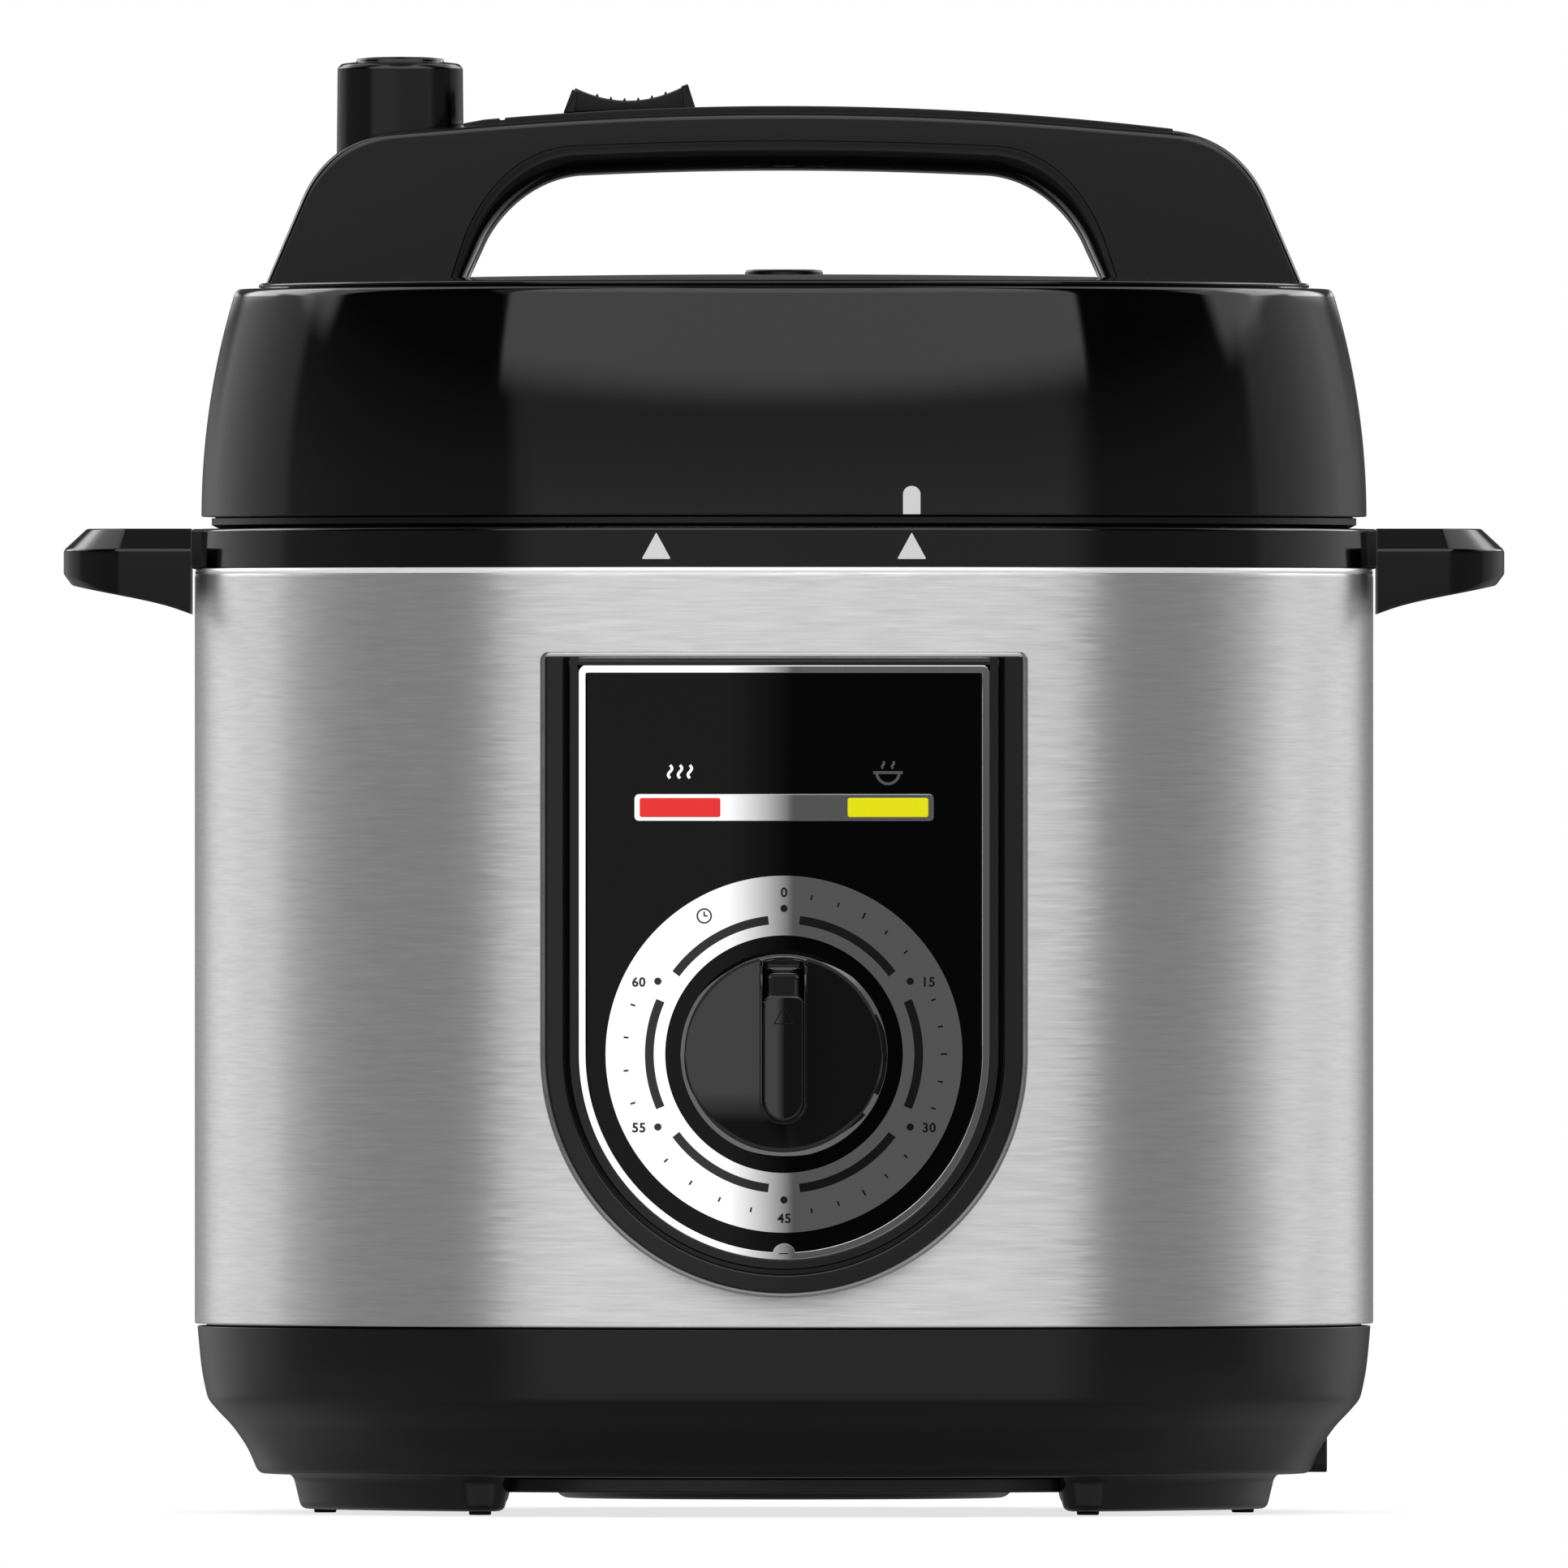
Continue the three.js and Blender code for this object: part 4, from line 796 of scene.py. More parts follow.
# ---- Side handles ------------------------------------------------------------------------------
# A D-shaped black grip at each side with wide chamfers round its top, hollow below, and an arched
# gusset down to the body. Each is screwed to the rim's flat seat from inside. Gloss sees only the
# web across its hollow, as the lights behind would reach round it.
grip_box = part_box("side_handle_right")
grip_reach, grip_half, grip_top = grip_box[1].x / MM, 30.0, rim_high
grip_root, grip_chamfer, grip_arc = 133.2, 4.9, 25.0


def grip_outline(inset):
    """The grip seen from above: a straight root, two straight sides, and an end between two arcs,
    which start with a crease where they have turned 30 degrees. All but the root move in."""
    middle_x, middle_y = grip_reach - grip_arc, grip_half - grip_arc * math.cos(math.pi / 6)
    radius = grip_arc - inset
    start = math.acos((grip_half - inset - middle_y) / radius)
    a = np.linspace(start, math.pi / 2, 24)
    bend = np.stack([middle_x + radius * np.sin(a), middle_y + radius * np.cos(a)], 1)
    x = np.linspace(grip_root, bend[0, 0], 14)[:-1]
    side = np.stack([x, np.full(13, bend[0, 1])], 1)
    end = np.stack([np.full(6, bend[-1, 0]), np.linspace(middle_y, 0, 7)[1:]], 1)
    line = np.concatenate([side, bend, end])
    return np.concatenate([line * (1, -1), line[-2::-1]])


def underside(x):
    """Height of the gusset's arch: a cubic through its four control points, read along X."""
    t = np.linspace(0, 1, 60)
    control = np.array([(161.9, 208.6), (150, 205.7), (142, 205.2), (133.2, 201.7)])
    weight = np.stack([(1 - t) ** 3, 3 * t * (1 - t) ** 2, 3 * t**2 * (1 - t), t**3], 1)
    curve = weight @ control
    return np.interp(x, curve[::-1, 0], curve[::-1, 1])


def near_end(x):
    """0 up to X = 153 mm, then rising evenly to 1 at 160 mm, just short of the grip's end."""
    return np.clip((x - 153) / 7, 0, 1)


def side_grip():
    """Rings of the D from the middle of its top out over the chamfer, down the side to the arch,
    round its lip and up the hollow to the hollow's roof."""
    rings = []
    centre, hollow_root = np.array([147.0, 0.0]), 136.6

    def ring(inset, height, hollow=False, shrink=1.0, cut=0.0):
        """Adds one ring at a height, which may follow X: drawn back by cut near the end, and kept
        clear of the root in the hollow."""
        p = grip_outline(inset)
        p[:, 0] -= cut * near_end(p[:, 0])
        if hollow:
            p[:, 0] = np.maximum(p[:, 0], hollow_root)
        p = centre + (p - centre) * shrink
        z = height(p[:, 0]) if callable(height) else np.full(len(p), float(height))
        rings.append(np.column_stack([p, z]))

    top, waist = grip_top, grip_top - grip_chamfer
    for shrink in (0.0, 0.5):
        ring(grip_chamfer + 0.6, top, shrink=shrink)
    for inset, height in ((0.7, top), (0.3, top - 0.08), (0.0, top - 0.3)):
        ring(grip_chamfer + inset, height)
    for inset, height in ((0.35, waist + 0.4), (0.12, waist + 0.1), (0.02, waist - 0.3), (0, waist - 0.8)):
        ring(inset, height)
    for inset, lift, rise, cut in (
        (0, 0.5, 1.8, 0), (0.02, 0.35, 1.6, 0.15), (0.1, 0.12, 0.2, 1.5), (0.35, 0.03, 0, 1.75),
        (0.7, 0, 0, 1.9),
    ):
        ring(inset, lambda x: underside(x) + lift + rise * near_end(x), cut=cut)
    roof = top - 4.6
    for inset, lift in ((2.4, 0.0), (2.75, 0.3), (2.85, 1.0)):
        ring(inset, lambda x: np.minimum(underside(x) + lift, roof - 1), hollow=True)
    for inset, height in ((4.1, roof - 1.2), (4.5, roof - 0.3), (5.4, roof)):
        ring(inset, height, hollow=True)
    ring(5.4, roof, hollow=True, shrink=0.0)
    return np.stack(rings), False, True


for side, angle in (("right", 0.0), ("left", math.pi)):
    grip = fitted(
        "side_grip_" + side, [spun(side_grip(), angle)], "housing", gloss_black,
        ["side_handle_" + side], angle=28,
    )
    grip.visible_glossy = False
    web = spun(block(136.7, 139.0, -20, 20, 205, 216.8), angle)
    fitted("side_grip_web_" + side, [web], "housing", gloss_black)

# ---- Pressure housing and removable pot --------------------------------------------------------
# The fixed pot is deep drawn steel with a raised channel above, in which eight lugs hold the lid.
# The removable pot is spun steel and hangs in it by its rolled rim, on the heating plate.
pressed_steel = worked("pressed_steel", (205, 205, 203), 0.2, pitch=700.0, depth=0.002)
pot_steel = worked("pot_steel", (214, 214, 212), 0.16, pitch=1500.0, depth=0.0015, tone=0.04)
lug_angle, lug_pitch, lug_thick = math.radians(19), math.pi / 4, 2.3
channel_top = 230.5


def lug(inner, outer, bottom, angle, edge=0.5):
    """A curved block between two radii and two heights: a section with rounded corners, carried
    over the lug's angle about Z."""
    section = softened(
        [(inner, bottom), (outer, bottom), (outer, bottom + lug_thick), (inner, bottom + lug_thick)], edge
    )
    a = angle + lug_angle * np.linspace(-0.5, 0.5, 10)
    r, z = section[:, :1], section[:, 1:]
    return np.stack([r * np.cos(a), r * np.sin(a), np.broadcast_to(z, (len(r), len(a)))], -1), True, False


housing_outline = softened(
    [
        (93, 50.7), (107.6, 50.7), (111.6, 54.7), (111.6, 211.7), (118.1, 211.7), (118.1, channel_top),
        (116.8, channel_top), (116.8, 213.1), (110.3, 213.1), (110.3, 55), (107.4, 52), (93, 52),
    ],
    [0.4, 3, 3, 1.2, 1.2, 0.6, 0.6, 1, 0.8, 2.4, 2.4, 0.4],
    steps=6,
)
channel_lugs = [lug(112.6, 117.2, channel_top - lug_thick, i * lug_pitch) for i in range(8)]
fitted(
    "pressure_housing", [turned(housing_outline, 192), *channel_lugs], "housing",
    pressed_steel, ["outer_pot"],
)
pot_outline = softened(
    [
        (0, 59), (94, 59), (104, 62), (109, 70), (109, 213.5), (111.9, 213.5), (111.9, 217.3),
        (107.5, 217.3), (107.5, 71), (103, 63.8), (94, 61), (0, 61),
    ],
    [0, 5, 6, 8, 0.6, 1.4, 1.8, 1.4, 8, 6, 5, 0],
    steps=6,
    closed=False,
)
fitted("cooking_pot", [turned(pot_outline, 192)], "pot", pot_steel, ["inner_pot"])

# ---- Heating plate, sensor and pressure switch -------------------------------------------------
# A cast aluminium plate with its heater cast in below, on three bent strips. A spring-loaded cup
# in its middle feels the pot. A cut-out switch under the housing's floor feels the pressure.
cast = moulded("cast_aluminium", (176, 176, 174), 0.5, grain=0.03, scale=1600.0, spread=0.12)
cast.node_tree.nodes["Principled BSDF"].inputs["Metallic"].default_value = 1.0
plate_outline = softened(
    [(16.5, 47), (62, 47), (64, 42), (74, 42), (76, 47), (91, 47), (91, 55.5), (84, 58.7), (16.5, 58.7)],
    [0.6, 1, 1.6, 1.6, 1, 1, 2, 2, 0.8],
)
fitted("hot_plate", [turned(plate_outline, 128)], "housing", cast, ["heating_plate"])
for number in (1, 2, 3):
    dressed(f"plate_bracket_{number}", zinc, 0.25)
holder_outline = softened(
    [(3.8, 29.5), (15, 29.5), (15, 45), (24, 45), (24, 46.7), (13.6, 46.7), (13.6, 31), (3.8, 31)],
    [0.2, 1, 0.8, 0.3, 0.3, 0.8, 0.6, 0.2],
)
fitted("sensor_cup_holder", [turned(holder_outline, 64)], "housing", zinc, ["sensor_holder"])
plunger_outline = softened(
    [(0, 27), (3, 27), (3, 44.5), (12.6, 44.5), (12.6, 57.2), (11.4, 58.6), (0, 58.6)],
    [0, 0.5, 0.8, 0.6, 1, 0.8, 0],
    closed=False,
)
fitted("sensor_cup", [turned(plunger_outline, 64)], "sensor", cast, ["sensor_plunger"])


def coil(radius, low, high, turns, wire):
    """A round wire along a helix: at share t of the way the wire's circle stands at angle 2 pi turns t
    and has climbed by t. It is drawn to a point at both ends."""
    t = np.linspace(0, 1, round(turns * 48) + 1)
    a = np.linspace(0, 2 * math.pi, 16, endpoint=False)[:, None]
    thick = wire * np.clip(np.minimum(t, 1 - t) * 400, 0.02, 1)
    around = 2 * math.pi * turns * t
    r, z = radius + thick * np.cos(a), low + (high - low) * t + thick * np.sin(a)
    return np.stack([r * np.cos(around), r * np.sin(around), z], -1), True, False


sensor_coil = coil(7, 32.2, 43.4, 3.5, 0.7)
spring = fitted("sensor_coil", [sensor_coil], "housing", zinc, ["sensor_spring"])
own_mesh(spring)
switch_plastic = moulded("switch_plastic", (226, 220, 204), 0.4, grain=0.006, spread=0.05)
dressed("pressure_switch", switch_plastic, 0.4)

# ---- Panel surround ----------------------------------------------------------------------------
# A black moulding bowed to the body: a flat inner band, a groove, a raised rib down both sides and
# round the bottom, and an outer lip that covers the edge of the steel.
dial_height, panel_top, surround_top, lamp_height, lamp_x = 103.3, 190.0, 191.9, 158.3, 23.2
panel_half = 45.9


def bowed(u, v, d):
    """An outline seen from the front, laid on an upright cylinder of radius d about the body."""
    d = np.broadcast_to(d, u.shape)
    return np.stack([u, -np.sqrt(d**2 - u**2), v], -1)


def shield_line(half, top):
    """Down the left side, round below about the dial's axis, and up the right side."""
    a = np.linspace(math.pi, 2 * math.pi, 72)
    bend = np.stack([half * np.cos(a), dial_height + half * np.sin(a)], 1)
    z = np.linspace(top, dial_height, 20)[:-1]
    left = np.stack([np.full(19, -half), z], 1)
    return np.concatenate([left, bend, (left * (-1, 1))[::-1]])


def shield(half, top, corner=2.0):
    """The shield line closed over the top with two round corners."""
    line = shield_line(half, top - corner)
    a = np.linspace(0, math.pi / 2, 7)[1:]
    right = np.stack([half - corner + corner * np.cos(a), top - corner + corner * np.sin(a)], 1)
    across = np.linspace(right[-1, 0], -right[-1, 0], 22)[1:-1]
    over = np.stack([across, np.full(20, top)], 1)
    return np.concatenate([line, right, over, (right * (-1, 1))[::-1]])


def along_shield(section, top):
    """A section in (half width, radius) carried along the shield line; its ends are cut level."""
    lines = np.stack([shield_line(half, top) for half, _ in section])
    return bowed(lines[..., 0], lines[..., 1], section[:, 1:]), True, False


surround_black = moulded("surround_black", (15, 15, 15), 0.2, grain=0.002)
surround_section = softened(
    [
        (45.95, 132.7), (45.95, 135.4), (48.0, 135.4), (48.05, 133.6), (49.1, 133.6), (49.2, 136.2),
        (53.35, 136.2), (53.4, 132.9), (53.9, 132.9), (53.9, 132.5),
    ],
    [0.1, 0.2, 0.35, 0.15, 0.15, 0.6, 0.6, 0.1, 0.1, 0.1],
    steps=4,
)
columns = np.linspace(-48.0, 48.0, 33)
bar_section = softened(
    [(190.05, 132.7), (191.65, 132.7), (191.65, 134.7), (191.0, 135.4), (190.05, 135.4)], 0.2
)
bar_x = np.broadcast_to(columns, (len(bar_section), len(columns)))
bar_z = np.broadcast_to(bar_section[:, :1], bar_x.shape)
top_bar = (bowed(bar_x, bar_z, bar_section[:, 1:]), True, False)
fitted(
    "panel_surround", [along_shield(surround_section, surround_top), top_bar], "housing",
    surround_black, ["control_bezel"], angle=30,
)
edge_line, edge_inner = shield(54.45, 193.1, 2.0), shield(53.42, 192.1, 1.3)


def band(inner, outer, section):
    """Between two like outlines: each point (s, d) of the closed section makes a ring at share s of
    the way from the inner to the outer one, at depth d."""
    s, d = section[:, 0][:, None, None], section[:, 1]
    rings = inner[None] * (1 - s) + outer[None] * s
    return bowed(rings[..., 0], rings[..., 1], d[:, None]), True, True


bead = softened([(0, 132.2), (1, 132.2), (1, 132.55), (0.6, 133.0), (0, 133.1)], [0, 0, 0.1, 0.15, 0])
bead_steel = worked("bead_steel", (196, 196, 196), 0.3, pitch=300.0, depth=0.001, tone=0.03)
fitted("window_edge", [band(edge_inner, edge_line, bead)], "housing", bead_steel)

# ---- Control panel, its foils and lamps --------------------------------------------------------
# A bowed gloss black plate. On it lie mirror foils: a line round the edge with a small half round
# at the bottom, a ring round the knob, and a strip that frames the two lamp lenses.
def even_bow():
    """The exact normal of a face bowed about Z: the place's own direction from the axis. Where the
    face looks more than 15 degrees away from that, as on an edge, its own normal stays."""
    group = bpy.data.node_groups.new("even_bow", "ShaderNodeTree")
    group.interface.new_socket("Normal", in_out="OUTPUT", socket_type="NodeSocketVector")
    put, maths = wired(group)
    place = put("ShaderNodeTexCoord").outputs["Object"]
    flat = put("ShaderNodeVectorMath", place, (1, 1, 0), operation="MULTIPLY").outputs[0]
    away = put("ShaderNodeVectorMath", flat, operation="NORMALIZE").outputs[0]
    own = put("ShaderNodeNewGeometry").outputs["Normal"]
    agree = put("ShaderNodeVectorMath", away, own, operation="DOT_PRODUCT").outputs["Value"]
    chosen = put("ShaderNodeMix", maths("GREATER_THAN", agree, 0.966), data_type="VECTOR")
    group.links.new(own, chosen.inputs[4])
    group.links.new(away, chosen.inputs[5])
    group.links.new(chosen.outputs[1], put("NodeGroupOutput").inputs[0])
    return group


bow_group = even_bow()


def with_even_bow(material):
    """Gives a material the exact normal of the bowed face in place of its own."""
    tree = material.node_tree
    bow = tree.nodes.new("ShaderNodeGroup")
    bow.node_tree = bow_group
    tree.links.new(bow.outputs[0], tree.nodes["Principled BSDF"].inputs["Normal"])
    return material


panel_black = with_even_bow(moulded("panel_black", (5, 5, 5), 0.012, specular=0.13, grain=0.0, spread=0.1))
face_radius = 135.0
fitted(
    "panel_plate", [slab(shield(panel_half, panel_top), (face_radius, 132.7), 0.3, bowed, fill=28)],
    "housing", panel_black, ["control_panel"],
)


def foil(name, colour, rough):
    """Mirror foil as on a hot stamped film: its colour and roughness drift faintly by the skin's clouds."""
    material, tree, shader = new_material(name)
    put, _ = wired(tree)
    skin = put("ShaderNodeGroup", node_tree=skin_group)
    skin.inputs["Cloud Scale"].default_value = 60.0
    tint = put("ShaderNodeMix", skin.outputs["Cloud"], data_type="RGBA")
    tint.inputs[6].default_value = [v * 0.98 for v in linear(colour)[:3]] + [1]
    tint.inputs[7].default_value = [min(1, v * 1.02) for v in linear(colour)[:3]] + [1]
    tree.links.new(tint.outputs[2], shader.inputs["Base Color"])
    ranged = put("ShaderNodeMapRange", skin.outputs["Cloud"], 0.3, 0.7, rough * 0.9, rough * 1.1)
    tree.links.new(ranged.outputs[0], shader.inputs["Roughness"])
    shader.inputs["Metallic"].default_value = 1.0
    return material


mirror = with_even_bow(foil("mirror_foil", (250, 250, 250), 0.012))
foil_front, foil_back = 135.55, 134.8
flat = softened(
    [(0, foil_back), (0, foil_front), (1, foil_front), (1, foil_back)], [0.08, 0.08, 0.2, 0.08], steps=3
)
trim = band(shield(panel_half - 1.65, panel_top - 1.65, 0.4), shield(panel_half, panel_top, 1.5), flat)
a = np.linspace(0, math.pi, 24)
bump_low = dial_height - panel_half + 1.2
bump_outline = np.stack([2.6 * np.cos(a), bump_low + 2.5 * np.sin(a)], 1)
bump = slab(bump_outline, (foil_front + 0.02, foil_back), 0.08, bowed, steps=2)
fitted("edge_foil", [trim, bump], "housing", mirror, ["panel_trim"])


def circle(radius, steps=96, cx=0.0, cz=dial_height):
    """A circle seen from the front."""
    a = np.linspace(0, 2 * math.pi, steps, endpoint=False)
    return np.stack([cx + radius * np.cos(a), cz + radius * np.sin(a)], 1)


shares = np.linspace(0, 1, 9)
wide = np.concatenate(
    [np.stack([shares, np.full(9, foil_front)], 1), np.stack([shares[::-1], np.full(9, foil_back)], 1)]
)
fitted(
    "dial_foil", [band(circle(26.5, 144), circle(39.8, 144), wide)], "housing", mirror,
    ["dial_ring"],
)


def pill(cx, cz, half_width, half_height, corner, steps=6):
    """A rectangle with round corners, with a few points along its long sides to bow by."""
    a = np.linspace(0, math.pi / 2, steps)
    bend = np.stack([half_width - corner + corner * np.cos(a), half_height - corner + corner * np.sin(a)], 1)
    x = np.linspace(bend[-1, 0], -bend[-1, 0], 14)[1:-1]
    over = np.stack([x, np.full(12, half_height)], 1)
    right_up, left_up = bend, (bend * (-1, 1))[::-1]
    half = np.concatenate([right_up, over, left_up])
    return np.concatenate([half, half * (-1, -1)]) + (cx, cz)


lens_half = (9.0, 2.15)
strip = slab(pill(0, lamp_height, 33.4, 3.0, 1.0), (foil_front, foil_back), 0.1, bowed, fill=6)
fitted("lamp_strip", [strip], "housing", mirror, ["indicator_frame"])


def lens_plastic(name, colour):
    """Clear coloured acrylic over a pale diffuser: its colour ripples faintly in fine stripes across, and
    its roughness drifts by the skin's clouds.
    """
    material, tree, shader = new_material(name)
    put, maths = wired(tree)
    where = put("ShaderNodeSeparateXYZ", put("ShaderNodeTexCoord").outputs["Object"]).outputs
    wave = maths("SINE", maths("MULTIPLY", where[0], 9000.0))
    share = put("ShaderNodeMapRange", wave, -1.0, 1.0, 0.0, 1.0)
    tint = put("ShaderNodeMix", share.outputs[0], data_type="RGBA")
    tint.inputs[6].default_value = [v * 0.985 for v in linear(colour)[:3]] + [1]
    tint.inputs[7].default_value = [min(1, v * 1.015) for v in linear(colour)[:3]] + [1]
    tree.links.new(tint.outputs[2], shader.inputs["Base Color"])
    skin = put("ShaderNodeGroup", node_tree=skin_group)
    ranged = put("ShaderNodeMapRange", skin.outputs["Cloud"], 0.3, 0.7, 0.25, 0.32)
    tree.links.new(ranged.outputs[0], shader.inputs["Roughness"])
    shader.inputs["Specular IOR Level"].default_value = 0.15
    return material


for name, finish, x, colour in (
    ("heat", "red_lens", -lamp_x, (250, 57, 57)), ("warm", "yellow_lens", lamp_x, (247, 243, 10))
):
    shape = slab(pill(x, lamp_height, *lens_half, 0.5), (135.85, 133.2), 0.25, bowed, fill=5)
    fitted(name + "_lens_cap", [shape], "housing", lens_plastic(finish, colour), [name + "_lens"])

# ---- Print on the foils ------------------------------------------------------------------------
# Dark gloss scale printed on the dial ring: a number and a dot at each of six stops, an arc between
# each two, fine graduation ticks and a small clock face. Above the lamps are two foil pictograms.
ink_front = foil_front + 0.06
ink = moulded("dial_ink", (12, 12, 12), 0.06, grain=0.0004, spread=0.08)


def stroke(line, width, front=ink_front):
    """A flat ribbon of ink along a line, square at both ends: the line moved half a width to either
    side along its normal."""
    p = np.asarray(line, float)
    way = np.gradient(p, axis=0)
    way /= np.linalg.norm(way, axis=1, keepdims=True)
    n = np.stack([-way[:, 1], way[:, 0]], 1) * width / 2
    rows = [(p - n, front - 0.1), (p - n, front), (p + n, front), (p + n, front - 0.1)]
    u = np.stack([r[0][:, 0] for r in rows])
    v = np.stack([r[0][:, 1] for r in rows])
    return bowed(u, v, np.array([r[1] for r in rows])[:, None]), True, False


def arc_line(radius, middle_angle, spread, steps=24, cx=0.0, cz=dial_height):
    """An arc seen from the front, in degrees to both sides of its middle."""
    a = np.radians(middle_angle + np.linspace(-spread, spread, steps))
    return np.stack([cx + radius * np.cos(a), cz + radius * np.sin(a)], 1)


def spot(x, z, radius):
    """A flat round dot of ink."""
    return slab(circle(radius, 24, x, z), (ink_front, ink_front - 0.1), 0.0, bowed, steps=1)


marks = [stroke(arc_line(30.05, 60 * k, 23.4), 1.95) for k in range(6)]
stops, stop_circle = np.radians(90 - 60 * np.arange(6)), 32.5
marks += [spot(stop_circle * math.cos(a), dial_height + stop_circle * math.sin(a), 0.82) for a in stops]
for segment, count in enumerate((6, 6, 6, 5, 5)):
    for k in range(1, count):
        angle = math.radians(90 - 60 * segment - 60 * k / count)
        reach = np.array([[34.9], [36.4 if k * 2 == count else 36.0]])
        line = reach * (math.cos(angle), math.sin(angle)) + (0, dial_height)
        marks.append(stroke(line, 0.42))
clock_circle, clock_angle = 35.6, math.radians(120)
clock = (clock_circle * math.cos(clock_angle), dial_height + clock_circle * math.sin(clock_angle))
marks.append(stroke(arc_line(1.55, 0, 180, 33, *clock), 0.36))
marks.append(stroke(np.array([(0, 1.0), (0, -0.1)]) + clock, 0.34))
marks.append(stroke(np.array([(0.8, 0.0), (-0.1, 0.0)]) + clock, 0.34))
fitted("dial_scale", marks, "housing", ink)


number_height = 2.2


def number_mesh(word, x, z):
    """A number made a flat mesh, moved to its place and bowed onto the foil, then given a thickness."""
    line = bpy.data.curves.new("number", "FONT")
    line.body, line.align_x, line.align_y = word, "CENTER", "CENTER"
    line.size, line.offset, line.space_character = 1.0, 0.03, 1.1
    maker = bpy.data.objects.new("number", line)
    scene.collection.objects.link(maker)
    mesh = bpy.data.meshes.new_from_object(maker.evaluated_get(bpy.context.evaluated_depsgraph_get()))
    bpy.data.objects.remove(maker)
    mesh.materials.clear()
    co = np.zeros(len(mesh.vertices) * 3)
    mesh.vertices.foreach_get("co", co)
    co = co.reshape(-1, 3)
    middle = (co.min(0) + co.max(0)) / 2
    scale = number_height / np.ptp(co[:, 1])
    u, v = (co[:, 0] - middle[0]) * scale + x, (co[:, 1] - middle[1]) * scale + z
    mesh.vertices.foreach_set("co", (bowed(u, v, ink_front) * MM).ravel())
    work = bmesh.new()
    work.from_mesh(mesh)
    bmesh.ops.remove_doubles(work, verts=work.verts, dist=1e-7)
    top = list(work.faces)
    if sum(f.calc_area() * f.normal.y for f in top) > 0:
        bmesh.ops.reverse_faces(work, faces=top)
    extruded = bmesh.ops.extrude_face_region(work, geom=top)
    moved = [g for g in extruded["geom"] if isinstance(g, bmesh.types.BMVert)]
    bmesh.ops.translate(work, verts=moved, vec=(0, 0.0001, 0))
    bmesh.ops.recalc_face_normals(work, faces=work.faces)
    work.to_mesh(mesh)
    work.free()
    return mesh


number_places = (
    ("0", 0, 36.1), ("15", 32.4, 16.1), ("30", 32.4, -16.4), ("45", 0, -36.6), ("55", -32.4, -16.4),
    ("60", -32.4, 16.1),
)
for word, x, z in number_places:
    fitted("number_" + word, number_mesh(word, x, dial_height + z), "housing", ink)

wave_half = 1.45
wave_z = np.linspace(-wave_half, wave_half, 17)


def wave(x, z, size=1.0):
    """One upright turn of a sine wave."""
    return np.stack([x + 0.42 * size * np.sin(wave_z / wave_half * math.pi), z + wave_z * size], 1)


sign_front = 135.12
heat_sign = [stroke(wave(x - lamp_x, 166.3), 0.62, sign_front) for x in (-2.2, 0, 2.2)]
bowl_height, bowl_lip = 166.1, 3.3
warm_sign = [
    stroke(arc_line(2.5, 270, 88, 20, lamp_x, bowl_height), 0.62, sign_front),
    stroke([(lamp_x - bowl_lip, bowl_height), (lamp_x + bowl_lip, bowl_height)], 0.62, sign_front),
    *[stroke(wave(lamp_x + x, 167.8, 0.55), 0.5, sign_front) for x in (-1.1, 1.1)],
]
fitted("lamp_signs", heat_sign + warm_sign, "housing", mirror)
board_green = moulded("board_green", (38, 84, 52), 0.45, grain=0.006, spread=0.2)
dressed("lamp_board", board_green, 0.15)
dressed("timer_unit", switch_plastic, 0.5)
dressed("timer_shaft", zinc, 0.15)

# ---- Timer knob --------------------------------------------------------------------------------
# Gloss black moulding: a low cap with a rounded rim, and a finger bar across it from the rim to
# below the middle, whose upper end dips in a scoop. A faint triangle points to the scale.
knob_black = moulded("knob_black", (9, 9, 9), 0.012, specular=0.6, grain=0.0, scale=1500.0)
knob_radius, knob_back, knob_face, knob_step = 23.1, 136.4, 148.0, 141.9
face_left, face_up = 0.12, 0.22
knob_outline = softened(
    [
        (0, knob_back), (21, knob_back), (knob_radius, knob_back + 0.8), (knob_radius, knob_step),
        (22.0, knob_face), *[(r, knob_face) for r in np.linspace(21.1, 0, 20)],
    ],
    [0, 1, 0.8, 0.6, 0.3, *[0.0] * 20],
    steps=5,
    closed=False,
)


def bowed_face(patch):
    """The knob's front falls away to both sides like a low roof, 0.105 a millimetre, with a parabola
    over its ridge, and low down with the square of the distance below 8 mm under the axis, then
    evenly. It sits a little off the axis, so the rim's slope is narrow above and on the left."""
    x, y, z = np.moveaxis(patch[0], -1, 0)
    share = np.clip((z - knob_step) / (knob_face - knob_step), 0, 1)
    beside_ridge = np.abs(x)
    roof = np.where(beside_ridge > 5.3, 0.105 * (beside_ridge - 2.65), 0.0099 * x**2)
    below = np.clip(-y - 8, 0, None)
    curved = np.minimum(below, 7.6)
    fall = 0.0013 * curved**2 + 0.01976 * (below - curved)
    moved = [x - face_left * share, y + face_up * share, z - share * (roof + fall)]
    return np.stack(moved, -1), *patch[1:]


def facing(patch):
    """A body turned about Z laid over so that its axis points to the front at the dial's height."""
    x, y, z = np.moveaxis(patch[0], -1, 0)
    return np.stack([x, -z, y + dial_height], -1), *patch[1:]


bar_bottom = -15.7


